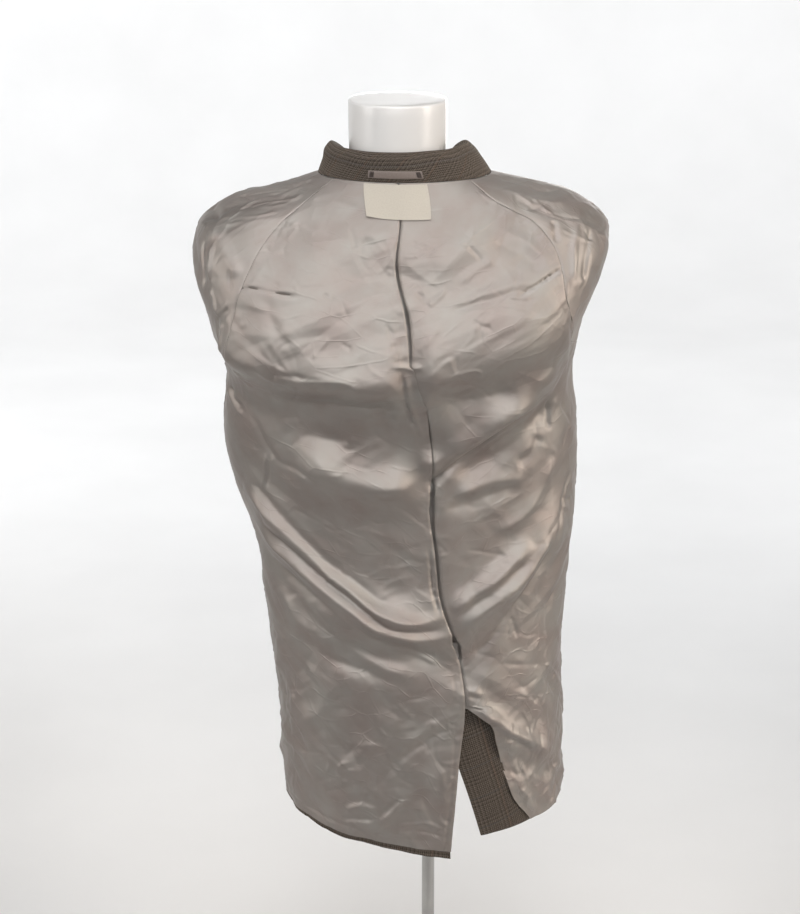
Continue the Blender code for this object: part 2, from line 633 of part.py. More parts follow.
def add_form():
    """The smooth torso with its neck: a sphere whose rings take the form's sections."""
    turn = np.arange(FORM_SEGMENTS) * 360 / FORM_SEGMENTS
    rings = [form_ring(row, turn) for row in FORM_NECK]
    for drop, ease in zip(FORM_SHOULDER_DROPS, FORM_SHOULDER_EASES):
        rings.append(shoulder_ring(turn, np.full(turn.shape, drop), ease))
    rings += [form_ring(row, turn) for row in FORM_BODY]
    body = smooth_rows(rings, FORM_STEPS)
    cap = level_ring(FORM_NECK[0], turn, NECK_TOP_Z, FORM_RIM_SHARE)
    rim = level_ring(FORM_NECK[0], turn, NECK_TOP_Z - FORM_RIM, 1.0)
    foot = level_ring(FORM_BODY[-1], turn, FORM_BOTTOM_Z, FORM_FOOT_SHARE)
    levels = [cap, rim, *body, foot]
    tops = (NECK_TOP_Z, FORM_BOTTOM_Z)

    bm = bmesh.new()
    steps = len(levels) + 1
    bmesh.ops.create_uvsphere(bm, u_segments=FORM_SEGMENTS, v_segments=steps, radius=1)
    for vert in bm.verts:
        level = round(math.acos(max(-1, min(1, vert.co.z))) / math.pi * steps)
        if level in (0, steps):
            z = tops[level > 0]
            vert.co = (form_centre(z), 0, z)
            continue
        angle = math.degrees(math.atan2(vert.co.x, -vert.co.y))
        vert.co = levels[level - 1][round(angle / 360 * FORM_SEGMENTS) % FORM_SEGMENTS]
    add_part("dress_form", bm, WHITE_SHELL, smooth_angle=40)


def add_turned(name, profile, finish, steps=32):
    """A turned piece: its half profile, top to bottom, spun about the pole's axis."""
    mesh = bpy.data.meshes.new(name)
    edges = [(i, i + 1) for i in range(len(profile) - 1)]
    mesh.from_pydata([(radius, 0, z) for radius, z in profile], edges, [])
    add_material(mesh, finish)
    part = bpy.data.objects.new(name, mesh)
    COLLECTION.objects.link(part)
    spin = part.modifiers.new("spin", "SCREW")
    spin.steps = spin.render_steps = steps
    spin.use_merge_vertices = True
    spin.merge_threshold = 0.00005
    spin.use_smooth_shade = True
    return part


def add_stand():
    """The pole under the form and the round plate that it stands on."""
    top, foot = FORM_BOTTOM_Z - SEAM_GAP, BASE_HEIGHT + SEAM_GAP
    pole = [(0, top), (POLE_RADIUS, top), (POLE_RADIUS, foot), (0, foot)]
    add_turned("pole", pole, CHROME_STEEL, steps=24)
    plate = [
        (0, BASE_HEIGHT), (BASE_RADIUS - 2 * BASE_EDGE, BASE_HEIGHT - BASE_EDGE / 2),
        (BASE_RADIUS - BASE_EDGE / 2, BASE_HEIGHT - BASE_EDGE), (BASE_RADIUS, BASE_HEIGHT - 2 * BASE_EDGE),
        (BASE_RADIUS, BASE_EDGE), (BASE_RADIUS - BASE_EDGE, 0), (0, 0),
    ]
    add_turned("base_plate", plate, CHROME_STEEL)


for old in list(bpy.data.objects):
    bpy.data.objects.remove(old)
COLLECTION = bpy.data.collections.new("overcoat_on_dress_form")
bpy.context.scene.collection.children.link(COLLECTION)

add_back()
add_front()
add_sleeve("left", -1, (RAGLAN_BACK_LEFT, RAGLAN_FRONT_LEFT))
add_sleeve("right", 1, (RAGLAN_BACK_RIGHT, RAGLAN_FRONT_RIGHT))
add_collar()
add_label()
add_form()
add_stand()
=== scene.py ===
"""Look of a raglan overcoat that is turned inside out and put on a limbless dress form.

The cloth lies on the surface that its solids are cut from, coat(turn, drop): turn is in degrees
from centre back, negative to the left and 180 at centre front, and drop is in metres below the
neck seam. Each crease is a soft ridge or trough along a line of turns and drops on that surface.
"""

import math
from collections import namedtuple

import bpy
import numpy as np
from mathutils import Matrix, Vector
from mathutils.bvhtree import BVHTree
from mathutils.geometry import delaunay_2d_cdt


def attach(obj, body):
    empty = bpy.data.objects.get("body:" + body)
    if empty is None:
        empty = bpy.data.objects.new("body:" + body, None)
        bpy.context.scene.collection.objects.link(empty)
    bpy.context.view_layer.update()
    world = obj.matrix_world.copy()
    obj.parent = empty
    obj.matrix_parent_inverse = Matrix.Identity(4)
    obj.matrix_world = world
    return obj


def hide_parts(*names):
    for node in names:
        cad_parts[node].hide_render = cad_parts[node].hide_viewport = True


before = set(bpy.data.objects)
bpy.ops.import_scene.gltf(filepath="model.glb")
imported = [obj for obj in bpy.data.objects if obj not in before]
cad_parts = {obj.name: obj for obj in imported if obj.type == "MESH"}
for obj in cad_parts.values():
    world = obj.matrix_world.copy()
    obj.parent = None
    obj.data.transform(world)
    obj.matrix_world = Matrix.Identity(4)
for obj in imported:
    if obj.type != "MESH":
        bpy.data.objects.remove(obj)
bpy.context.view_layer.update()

MM = 0.001

# Cloth walls and seams. An edge turns in by its dip, over the width of its roll
LINED_WALL = 2.0 * MM
TWEED_WALL = 2.2 * MM
COLLAR_WALL = 2.8 * MM
TRIM_WALL = 0.8 * MM
SEAM_GAP = 0.3 * MM
SEAM_DIP = 0.5 * MM
SEAM_ROLL = 1.4 * MM
PLEAT_DIP = 0.8 * MM
PLEAT_ROLL = 2.0 * MM
NECK_SEAM_Z = 1.266

# Centre back pleat and vent: the pleat's lap, where the vent starts, how deep its facing lies and how
# far that reaches under the lining, and the heights of the tweed edge at the side and at the centre
PLEAT_LAP = 16 * MM
VENT_TOP_DROP = 704 * MM
VENT_DEPTH = 5.5 * MM
VENT_SEAM = 2.5 * MM
HEM_STRIPS = (1.6 * MM, 10 * MM)

# Front closure
FACING_TURN = 28.0
FRONT_LAP_TURN = 8.0
FRONT_LAP_LIFT = 3.4 * MM

# Sleeve head: the mouth where the sleeve folds inside. Its edge rolls over by an angle in degrees,
# first at the shoulder, then at the underarm
MOUTH_HALF_TURN = 13.0
MOUTH_TOP_DROP = 140 * MM
MOUTH_BOTTOM_RISE = 34 * MM
MOUTH_ROLL = 8 * MM
MOUTH_BENDS = (60.0, 150.0)

# Points across and down each piece, in counts of steps. Those of a piece with a coarser inside
# are multiples of INSIDE_STEP. Points crowd beside a panel's seams by a share
INSIDE_STEP = 3
Steps = namedtuple("Steps", "raglan side across")
BACK_STEPS = Steps(150, 309, 150)
FRONT_STEPS = Steps(105, 222, 84)
FACING_STEPS = Steps(60, 126, 18)
VENT_STEPS = 90
VENT_FACING_ACROSS = 27
HEM_STRIP_STEPS = 3
SLEEVE_NECK_STEPS = 24
SLEEVE_SEAM_STEPS = 120
SLEEVE_CAP_STEPS = 72
SLEEVE_ROLL_STEPS = 6
SLEEVE_TUCK_STEPS = 9
COLLAR_STEPS = (300, 66)
LOOP_STEPS = (48, 8)
LABEL_STEPS = (60, 36)
CREASE_STEPS = 28
TRACE_STEPS = 400
SEAM_CROWD = 0.28

# The coat's sections, in millimetres: how far below the neck seam each one lies at the back,
# sides and front, how far it reaches, and how square its outline is (2 is an ellipse)
Ring = namedtuple("Ring", "name drop side_drop front_drop left right back front square")
COAT_RINGS = (
    Ring("neck seam", 0, 0, 50, -146, 78, -82, 82, 2.0),
    Ring("collarbone", 50, 15, 88, -192, 141, -112, 100, 2.2),
    Ring("shoulder", 98, 32, 125, -256, 193, -134, 113, 2.4),
    Ring("shoulder tip", 142, 66, 160, -301, 229, -148, 122, 2.6),
    Ring("sleeve head", 185, 115, 195, -309, 224, -154, 127, 2.7),
    Ring("sleeve low", 232, 185, 235, -292, 199, -152, 129, 2.6),
    Ring("armpit", 282, 254, 282, -269, 187, -142, 128, 2.4),
    Ring("chest", 335, 322, 335, -275, 195, -130, 126, 2.3),
    Ring("waist", 420, 415, 420, -262, 197, -121, 123, 2.2),
    Ring("small of back", 500, 500, 500, -235, 192, -120, 122, 2.2),
    Ring("hip", 590, 590, 590, -223, 184, -125, 124, 2.2),
    Ring("seat", 700, 700, 700, -212, 182, -128, 124, 2.2),
    Ring("skirt", 800, 800, 800, -204, 185, -129, 124, 2.2),
    Ring("below hem", 940, 940, 940, -190, 184, -130, 124, 2.2),
)

# Seam lines and free edges on the coat: millimetres of drop, degrees of turn
Place = namedtuple("Place", "drop turn")
CENTRE_BACK = (
    Place(0, -5), Place(70, -5), Place(173, 2), Place(238, 5), Place(324, 9.5), Place(465, 7.5),
    Place(548, 9), Place(625, 16), Place(700, 18), Place(789, 14.5), Place(925, 10),
)
VENT_LINING_EDGE = (
    Place(704, 19), Place(725, 27), Place(760, 30.5), Place(808, 34.5), Place(848, 39), Place(886, 49),
)
VENT_FACING_EDGE = (Place(709, 9), Place(789, 14.5), Place(841, 19), Place(895, 23.5))
RAGLAN_BACK_LEFT = (
    Place(0, -53), Place(40, -54), Place(92, -47.5), Place(144, -43), Place(182, -44), Place(220, -48),
    Place(262, -62), Place(286, -90),
)
RAGLAN_BACK_RIGHT = (
    Place(0, 47), Place(35, 44), Place(70, 48.5), Place(105, 47.5), Place(145, 44.5), Place(182, 46.5),
    Place(215, 54), Place(246, 66), Place(263, 90),
)
RAGLAN_FRONT_LEFT = (
    Place(0, -124), Place(60, -129), Place(120, -133), Place(170, -133), Place(215, -127),
    Place(262, -112), Place(286, -90),
)
RAGLAN_FRONT_RIGHT = (
    Place(0, 124), Place(60, 129), Place(120, 133), Place(170, 132), Place(212, 124),
    Place(246, 109), Place(263, 90),
)
SIDE_HEM_DROP = 868 * MM
FRONT_HEM_DROP = 880 * MM
LABEL_LEFT_EDGE = (Place(2, -27), Place(42, -20.5))
LABEL_RIGHT_EDGE = (Place(2, 14), Place(42, 9))
LOOP_TURNS = (-24.5, 13.0)
LOOP_WAYS = (5.0, 14.0)

# The pleat down the centre back, in millimetres: how far the left back's fold is drawn aside, and
# how deep the right back lies beside it, for how far it stays so deep and how far it takes to rise
Pleat = namedtuple("Pleat", "name drop open depth flat rise")
PLEATS = (
    Pleat("neck", 0, 0, 3.4, 0, 5),
    Pleat("label edge", 62, 0, 3.4, 0, 5),
    Pleat("yoke", 100, 0, 5.5, 1, 6),
    Pleat("blade", 165, 0, 6.5, 2, 6),
    Pleat("above pinch", 210, 0, 5.0, 1, 6),
    Pleat("pinch", 218, 0, 3.4, 0, 5),
    Pleat("twist top", 226, -8, 6.5, 1, 5),
    Pleat("twist", 275, -6, 6.5, 1, 5),
    Pleat("twist foot", 318, 0, 4.5, 0, 5),
    Pleat("closed", 330, 0, 3.0, 0, 5),
    Pleat("closed foot", 380, 0, 3.0, 0, 5),
    Pleat("slit top", 392, 1, 8.0, 2, 4),
    Pleat("slit", 425, 2, 9.0, 3, 4),
    Pleat("slit foot", 460, 0, 6.5, 1, 5),
    Pleat("strip", 500, 0, 5.5, 1, 6),
    Pleat("strip foot", 560, 0, 4.8, 0, 6),
    Pleat("swag", 598, 0, 3.2, 0, 5),
    Pleat("hole top", 607, 3, 10.0, 2, 2),
    Pleat("hole", 614, 4, 16.0, 4, 2),
    Pleat("hole foot", 641, 0, 3.2, 0, 4),
    Pleat("vent top", 703, 0, 3.0, 0, 8),
    Pleat("vent", 706, 0, 2.6, 0, 20),
    Pleat("vent foot", 925, 0, 2.6, 0, 20),
)

# The pushed-in sleeves below the mouth, in millimetres: heights of the wall next to the form and
# of the wall next to the coat, where each wall hangs and how flat it hangs (2 is an ellipse), and
# half the depth from front to back
Tuck = namedtuple(
    "Tuck", "name inner_z outer_z left_in left_out left_square right_in right_out right_square depth"
)
SLEEVE_TUCKS = (
    Tuck("throat", 1128, 1006, -215, -252, 2.0, 148, 175, 2.0, 46),
    Tuck("upper arm", 990, 950, -200, -240, 2.6, 142, 178, 2.0, 56),
    Tuck("elbow", 800, 800, -188, -224.5, 3.2, 143, 176, 2.0, 50),
    Tuck("forearm", 670, 670, -180, -211, 3.2, 150, 170, 2.0, 46),
    Tuck("cuff", 565, 565, -173.5, -200, 3.2, 149, 168, 2.0, 42),
)

# The collar above the neck seam, in millimetres: it stands up, folds over and falls inside
CollarRow = namedtuple("CollarRow", "name way middle half back front back_z side_z front_z")
COLLAR_ROWS = (
    CollarRow("stand foot", 0, -34, 111.7, -81.8, 81.3, 1266.4, 1266.5, 1217.4),
    CollarRow("stand middle", 17, -37, 103, -80.5, 76, 1284, 1284, 1233),
    CollarRow("stand top", 33, -40.5, 95, -77.5, 71.5, 1298, 1299, 1248),
    CollarRow("fold", 40, -41.5, 87.5, -73, 67, 1303.5, 1305, 1253.5),
    CollarRow("fall top", 47, -42.5, 79, -68.5, 62.5, 1298, 1301, 1248),
    CollarRow("fall edge", 66, -43, 73, -68.5, 62, 1280, 1280, 1238),
)
COLLAR_WAY = 66.0
COLLAR_END_TURN = 171.0

# The creases, in millimetres: how far each stands out (or in), its width, which is how far from its
# line it is still about half as high, the line that it follows, as pairs of turn and drop, and how
# round its crest is, as a share of the width. The broad ones are the solids' folds
Crease = namedtuple("Crease", "name height width path round", defaults=(0.35,))
CREASES = (
    Crease("broad blade shelf left", 7, 26, (
        (-60, 236), (-48.5, 238), (-33.5, 240), (-21.5, 242), (-9, 246), (6, 246),
    ), 0.3),
    Crease("broad yoke hollow", -6, 40, ((-52, 112), (-28, 116), (0, 118), (28, 114), (52, 106)), 0.8),
    Crease("broad upper back left", 14, 45, (
        (-64, 224), (-44, 234), (-24, 240), (-6, 240), (8, 236),
    ), 0.3),
    Crease("broad upper back right", 14, 45, (
        (2, 236), (16, 236), (32, 228), (46, 220), (60, 208),
    ), 0.4),
    Crease("broad hollow below shelf", -6, 28, (
        (-55, 297), (-38, 303), (-23.5, 306), (-9, 306), (6.5, 301),
    ), 0.8),
    Crease("broad middle pouch left", 11, 24, (
        (-37.5, 352), (-24, 380), (-14, 392), (-3.5, 392), (8, 380),
    ), 0.5),
    Crease("broad armpit fold right", 13, 20, (
        (9.5, 336), (21.5, 312), (33, 291), (44, 270), (57.5, 252),
    ), 0.6),
    Crease("broad hollow under armpit fold", -9, 20, (
        (14, 387), (24, 366), (34.5, 345), (46, 321), (60.5, 299),
    )),
    Crease("broad swag left", 13, 20, (
        (-62, 390), (-47, 483), (-29, 549), (-9.5, 581), (12.5, 579),
    ), 0.8),
    Crease("broad swag right", 11, 20, ((12.5, 581), (24, 561), (35, 528), (48, 486), (68, 433)), 0.8),
    Crease("broad hollow below swag", -7, 22, (
        (-39.5, 610), (-23.5, 626), (-6.5, 635), (12, 636), (32, 630),
    )),
    Crease("broad vent drag", 10, 18, ((18, 706), (28, 730), (38, 754), (50, 777), (68, 799))),
    Crease("broad hollow under vent drag", -6, 18, (
        (32, 766), (39, 780), (47, 797), (56, 814), (67.5, 836),
    )),
    Crease("yoke bulge left", 2.2, 20, ((-40, 92), (-22, 84), (-13, 86), (2, 80)), 0.8),
    Crease("yoke dip left", -2, 18, ((-38, 106), (-19.5, 99), (-11.5, 103), (2, 96)), 0.8),
    Crease("dart left", -2.5, 1.8, ((-45, 164), (-37.5, 154.5), (-26.5, 149)), 0.15),
    Crease("dart lip left", 0.6, 5, ((-41.5, 165), (-36, 157), (-29, 157))),
    Crease("dip below dart", -1.6, 7, ((-35, 162), (-33.5, 182), (-31, 198), (-29, 208))),
    Crease("blade nick left", -0.8, 2.6, ((-22, 138), (-19.5, 142), (-18, 137))),
    Crease("blade line left", -0.9, 3, ((-18.5, 137), (-16, 148), (-13.5, 165))),
    Crease("blade spark left", 0.8, 3, ((-18, 189), (-20.5, 203), (-23, 216))),
    Crease("blade tick left", -0.8, 2.6, ((-15, 193), (-13.5, 197), (-12, 199))),
    Crease("pleat tick left", -0.9, 2.8, ((-4, 165), (-2.5, 174), (-1.5, 186))),
    Crease("yoke line left", -0.7, 2.6, ((-26, 56), (-22, 68), (-18.5, 81))),
    Crease("armhole tick left", -0.7, 2.6, ((-32, 129), (-30.5, 132), (-28.5, 135))),
    Crease("armhole wrinkle left", 0.8, 3, ((-43.5, 203), (-41.5, 198), (-40, 195))),
    Crease("label drag left", -1, 4, ((-51, 41), (-39, 32), (-24, 34))),
    Crease("cap dent left", -4, 7, ((-94, 122), (-76.5, 119), (-68, 120))),
    Crease("cap ridge left", 4, 8, ((-84.5, 141), (-72, 131), (-58.5, 131), (-48.5, 144), (-45, 153))),
    Crease("sleeve drape left 1", 3, 2.9, ((-60, 137), (-57, 156), (-56, 178))),
    Crease("sleeve drape left 2", -3, 2.9, ((-65.5, 140), (-61.5, 163), (-61, 191))),
    Crease("sleeve pinch left", 2, 3.5, ((-54, 206), (-50, 195), (-46.5, 183))),
    Crease("sleeve pinch dip left", -2, 3.5, ((-55, 212), (-49.5, 199), (-46, 188))),
    Crease("sleeve drape left 3", -3, 2.5, ((-53, 207), (-55, 222), (-58, 242))),
    Crease("sleeve drape left 4", 2.7, 2.5, ((-56.5, 183), (-54, 191), (-53.5, 204))),
    Crease("sleeve drape left 5", -2.2, 2.2, ((-49, 148), (-47.5, 159), (-46, 169))),
    Crease("shoulder dent left", -1.5, 4, ((-84, 89), (-77, 84), (-72, 81))),
    Crease("sleeve drape left 6", 3, 2.9, ((-50, 204), (-52, 222), (-55.5, 243))),
    Crease("dart right", -3.4, 2.4, ((46, 139), (40.5, 142), (36, 147), (29.5, 154)), 0.25),
    Crease("dart drag right", -1.2, 4, ((37, 146), (30, 146), (24, 148), (17.5, 150), (12, 156))),
    Crease("dart drag lip right", 1, 5, ((36, 135), (28.5, 137), (22.5, 138), (16.5, 141))),
    Crease("yoke bulge right", 2.2, 20, ((-6, 82), (7.5, 84), (16.5, 83), (32, 72)), 0.8),
    Crease("yoke dip right", -2.2, 17, ((-8, 100), (6.5, 111), (14.5, 112), (21.5, 105), (34, 94)), 0.8),
    Crease("yoke star dip", -1.2, 3, ((20, 71), (22.5, 87), (24.5, 104))),
    Crease("yoke star ridge", 1.2, 5, ((15, 122), (19.5, 111), (24, 105), (28.5, 102))),
    Crease("yoke line right", -0.9, 3, ((0, 66), (5, 73), (10.5, 79))),
    Crease("notch dip right", -1.2, 3, ((3, 124), (5, 133), (6.5, 141))),
    Crease("notch ridge right", 1.2, 3, ((6.5, 142), (8.5, 138), (12, 123))),
    Crease("armhole ridge right", 2.2, 7, ((35, 68), (39.5, 90), (41, 109), (42.5, 133))),
    Crease("armhole dip right", -2, 8, ((28.5, 75), (34, 94), (37, 112), (39.5, 133))),
    Crease("sleeve drape right 1", -2.2, 3.6, ((55.5, 89), (51.5, 101), (48, 112))),
    Crease("sleeve drape right 2", 3, 4.3, ((62.5, 108), (51.5, 129), (47, 162))),
    Crease("sleeve drape right 3", -3, 4.3, ((66, 120), (55, 141), (52, 172))),
    Crease("shoulder dip right", -2.5, 7, ((78, 4), (73.5, 32), (76.5, 57), (87, 79))),
    Crease("shoulder ridge right", 2, 8, ((59, 21), (60.5, 47), (64, 69), (71.5, 89))),
    Crease("blade tick right", -0.8, 3, ((19, 169), (22, 178), (25, 184))),
    Crease("pleat wrinkle right", 0.9, 4, ((11, 168), (8, 188), (5.5, 201))),
    Crease("shelf lip", 2.2, 4.5, (
        (-42, 231), (-39, 235), (-37, 246), (-33, 249), (-28, 244), (-19, 237), (-13, 238),
        (-10.5, 254),
    )),
    Crease("shelf crease", -1.2, 2.6, ((-36, 240), (-30.5, 238), (-23.5, 238), (-18.5, 235))),
    Crease("hollow under shelf", -5, 13, ((-45.5, 289), (-33, 288), (-19, 279), (-7, 279), (0.5, 287))),
    Crease("hollow crease", -1.6, 3, ((-9, 287), (-5, 289), (-1, 297))),
    Crease("pouch hollow", -3, 10, ((-33, 327), (-26, 329), (-19, 331), (-15, 329))),
    Crease("pouch ridge", 5, 14, (
        (-34.5, 336), (-28.5, 347), (-22.5, 364), (-14.5, 380), (-4.5, 386), (5.5, 378),
    )),
    Crease("pouch star ridge", 1, 3, ((-17.5, 338), (-16, 330), (-13.5, 324))),
    Crease("pouch star dip", -1, 3, ((-17.5, 343), (-15, 340), (-13, 330))),
    Crease("armpit dip left", -2.5, 3.5, ((-69.5, 294), (-65, 306), (-58, 312))),
    Crease("armpit ridge left 1", 2, 4, ((-52.5, 252), (-52, 269), (-49.5, 278))),
    Crease("armpit ridge left 2", 1.6, 3.5, ((-81.5, 289), (-73.5, 301), (-64, 313), (-55.5, 321))),
    Crease("double crease 1", 1.4, 2.6, ((-46, 357), (-48.5, 386), (-52, 414))),
    Crease("double crease 2", -1.4, 2.6, ((-44, 356), (-46.5, 386), (-49.5, 408))),
    Crease("long diagonal left", -1.6, 4, (
        (-54, 313), (-49.5, 324), (-44.5, 352), (-40.5, 368), (-34, 372), (-28.5, 380), (-27, 390),
    )),
    Crease("upper swag", 5.5, 6.5, (
        (-76.5, 428), (-59.5, 424), (-52.5, 435), (-46, 454), (-41.5, 474), (-36, 495), (-30.5, 517),
        (-23.5, 534), (-16.5, 555), (-9.5, 568), (-2.5, 576), (4.5, 576), (9.5, 572), (13.5, 568),
    ), 0.45),
    Crease("above upper swag", -3, 6, (
        (-62.5, 403), (-52, 415), (-44, 445), (-37.5, 475), (-31, 501), (-22.5, 522), (-14, 548),
        (-6.5, 559),
    )),
    Crease("lower swag", 5, 6.5, (
        (-75, 453), (-59.5, 468), (-53.5, 484), (-48, 496), (-43, 512), (-37, 528), (-28.5, 548),
        (-21.5, 564), (-15, 584), (-6, 595), (1.5, 603), (12.5, 599), (15.5, 592),
    ), 0.45),
    Crease("between swags", -4.5, 5, (
        (-58.5, 445), (-52, 462), (-45, 483), (-38.5, 506), (-30, 531), (-22.5, 550), (-16, 568),
        (-9, 585), (4.5, 590), (13.5, 582),
    )),
    Crease("below lower swag", -4, 8, (
        (-69.5, 500), (-55, 517), (-44, 535), (-33, 561), (-23.5, 584), (-14.5, 606), (-5.5, 618),
        (4.5, 626), (13, 623),
    )),
    Crease("third swag", 3.2, 8, (
        (-64.5, 540), (-52.5, 567), (-47.5, 591), (-38, 604), (-28, 619), (-17.5, 636), (-6.5, 651),
        (5, 660),
    ), 0.6),
    Crease("below third swag", -2.5, 7, (
        (-50, 612), (-39.5, 628), (-30, 643), (-19.5, 652), (-7.5, 669),
    )),
    Crease("swag edge at centre", 1.5, 3, ((-10.5, 618), (-3, 621), (3, 630), (9, 642))),
    Crease("armpit fold right", 9, 13, (
        (5.5, 364), (10, 356), (17, 341), (25, 322), (35, 298), (45, 290), (57, 285),
    ), 0.5),
    Crease("pleat strip groove", -3.2, 2.4, ((5.5, 471), (6, 505), (6.4, 534), (9.1, 572))),
    Crease("twist groove", -2.6, 2.6, ((2, 222), (2.2, 240), (2.4, 262), (3.9, 292), (7.6, 325))),
    Crease("twist ridge", 2, 2.6, ((4, 226), (3.9, 266), (5.4, 303), (7.8, 322))),
    Crease("pinch lip", 2.2, 3, ((-2, 214), (2.5, 218), (4.6, 221), (8, 217))),
    Crease("under armpit fold right", -7, 5, (
        (7.5, 396), (10.9, 381), (16.9, 361), (25.3, 336), (35.2, 307), (49.3, 299),
    )),
    Crease("hollow under shelf right", -7, 16, ((9, 259), (16.5, 267), (25.5, 267), (37, 264))),
    Crease("armpit slit right", -2.5, 3, ((54.5, 297), (54, 318), (52.5, 336))),
    Crease("armpit ridge right", 1.6, 3, ((59, 301), (56, 315), (53.5, 327))),
    Crease("armpit crumple right", -1.6, 3, ((62, 306), (63.5, 318), (71, 340))),
    Crease("soft shadow right", -3, 8, ((48.5, 336), (44.5, 357), (37.5, 373))),
    Crease("second trough right", -4, 9, ((39, 396), (30.5, 404), (22, 414), (12, 425))),
    Crease("second ridge right", 3, 9, ((43.5, 391), (33.5, 389), (24, 394), (15.5, 407))),
    Crease("side lobe right", 4, 9, ((56, 364), (51, 396), (45, 426), (36.5, 449), (27, 459))),
    Crease("upper swag right", 5, 9, ((44.5, 475), (39, 489), (28.5, 522), (20, 544), (13.5, 567))),
    Crease("between swags right", -3, 6, ((45, 492), (37, 513), (28.5, 537), (21, 557), (14, 579))),
    Crease("lower swag right", 6, 9.5, ((53.5, 470), (47.5, 496), (37, 534), (26, 562), (17, 591))),
    Crease("below swag right", -4.5, 6.5, (
        (58, 445), (52.5, 493), (47, 521), (40.5, 553), (32, 592), (25, 621), (19, 630),
    )),
    Crease("side pucker right 1", -1.5, 3, ((62, 431), (66, 435), (73.5, 442))),
    Crease("side pucker right 2", 1.5, 3, ((60, 438), (64.5, 444), (71, 451))),
    Crease("side line right", -2, 3.5, ((69.5, 396), (64, 428), (59, 459), (57.5, 491))),
    Crease("short slit right", -1.4, 3, ((37.5, 579), (39, 594), (41, 613))),
    Crease("faint level right", -0.7, 3, ((32, 643), (42, 650), (58.5, 661))),
    Crease("side bunch right 1", 1.5, 3, ((58, 661), (63.5, 672), (72, 688))),
    Crease("side bunch right 2", -1.5, 3, ((60, 681), (64.5, 696), (70.5, 721))),
    Crease("low diagonal right", -0.9, 3.5, ((41, 675), (46, 693), (52.5, 714))),
    Crease("vent top bump", 2, 4.5, ((18.5, 677), (21.5, 679), (25.5, 686))),
    Crease("vent top crease", -1.5, 3, ((18.5, 686), (22, 687), (24.5, 690))),
    Crease("vent flap ridge", 5.5, 8, ((21.5, 699), (27.5, 715), (33.5, 737), (42, 756), (50, 775))),
    Crease("vent flap trough", -7, 6.5, ((26, 721), (33, 744), (43.5, 768), (53.5, 797))),
    Crease("flap crumple 1", -1.5, 3.5, ((37.5, 803), (40.5, 812), (44.5, 808))),
    Crease("flap crumple 2", 1.8, 3.5, ((42, 834), (45, 843), (48.5, 854))),
    Crease("side crumple right", 1.5, 3, ((61.5, 810), (63.5, 805), (67.5, 804))),
    Crease("low star dip", -1, 3, ((-34, 752), (-29.5, 766), (-27, 781), (-25.5, 799))),
    Crease("low star ridge", 1, 3, ((-29.5, 756), (-30, 765), (-31.5, 777))),
    Crease("low arc", 1.4, 3, ((-26, 763), (-22, 757), (-17, 756), (-13.5, 762))),
    Crease("low nick", -1, 3, ((-34, 810), (-30, 814), (-27, 819))),
    Crease("low diagonal ridge 1", 2, 5, ((-10.5, 770), (-5, 752), (0.5, 737), (11, 714))),
    Crease("low diagonal dip", -2, 5, ((-10, 783), (-3.5, 763), (3, 747), (12, 729))),
    Crease("low diagonal ridge 2", 1.5, 5, ((-15, 816), (-10, 794), (-5, 772), (2.5, 750))),
    Crease("hem triangle ridge", 2.5, 3.5, ((-33, 859), (-27, 849), (-19, 850))),
    Crease("hem triangle dip", -2, 3, ((-35.5, 873), (-28, 868), (-20.5, 868))),
    Crease("hem diagonal dip", -2, 3.5, ((-20.5, 868), (-14.5, 850), (-8.5, 828))),
    Crease("hem diagonal ridge", 1.5, 4, ((-18.5, 874), (-13, 855), (-7, 831))),
    Crease("hem tick", -1.5, 3, ((-21, 896), (-17, 881), (-12, 874))),
    Crease("hem fold", 1.9, 3, ((-12, 874), (-5.5, 872), (0.5, 870), (5, 877), (10, 885))),
    Crease("hem line", -0.9, 1.9, ((-78, 859), (-50, 873), (-25, 885), (8, 901))),
    Crease("hem fold dip", -1.5, 3, ((-12, 882), (-2.5, 881), (9, 892))),
    Crease("vent edge ridge", 1.6, 3, ((7.5, 785), (8, 813), (8, 846))),
    Crease("vent edge pucker 1", -1.4, 2.6, ((6, 857), (8, 864), (10.5, 868))),
    Crease("vent edge pucker 2", 1.3, 2.6, ((6, 867), (8.5, 874), (10.5, 877))),
    Crease("vent edge crumple", -1.2, 2.6, ((11, 719), (12.5, 726), (14.5, 726))),
    Crease("vent edge stitching", -0.9, 1.8, (
        (14.5, 716), (13.2, 760), (11.8, 802), (8.6, 890), (8, 908),
    )),
    Crease("left tick", -0.9, 3, ((-53.5, 813), (-51, 816), (-48, 822))),
    Crease("left streak 1", -1.2, 3.5, ((-66, 702), (-66, 721), (-66.5, 743))),
    Crease("left streak 2", 1.2, 4, ((-58, 699), (-59.5, 738), (-59, 781))),
    Crease("left crumple", 1.2, 3.5, ((-70, 612), (-63, 619), (-57.5, 628))),
    Crease("lower left hollow", -5.1, 18, ((-35.5, 683), (-28, 723), (-31.5, 798))),
    Crease("lower left ridge", 4.2, 14, ((-49, 706), (-48, 780), (-46, 854))),
    Crease("broad front drag left", 8, 18, (
        (-121, 322), (-130, 420), (-139, 520), (-147, 640), (-149, 745),
    )),
    Crease("broad front drag right", 8, 18, (
        (123, 310), (130, 420), (134, 520), (138, 640), (141, 745),
    )),
    Crease("front dip left", -4, 14, ((-112, 350), (-121, 470), (-128, 590))),
    Crease("front dip right", -4, 14, ((113, 340), (120, 460), (125, 600))),
    Crease("front fold left 1", 3, 8, ((-103, 300), (-113, 372), (-127, 432))),
    Crease("front fold left 2", -2.5, 7, ((-106, 310), (-118, 396), (-134, 455))),
    Crease("front fold left 3", 2.2, 6, ((-140, 250), (-136, 330), (-139, 400))),
    Crease("front fold left 4", -1.6, 5, ((-105, 640), (-121, 690), (-142, 705))),
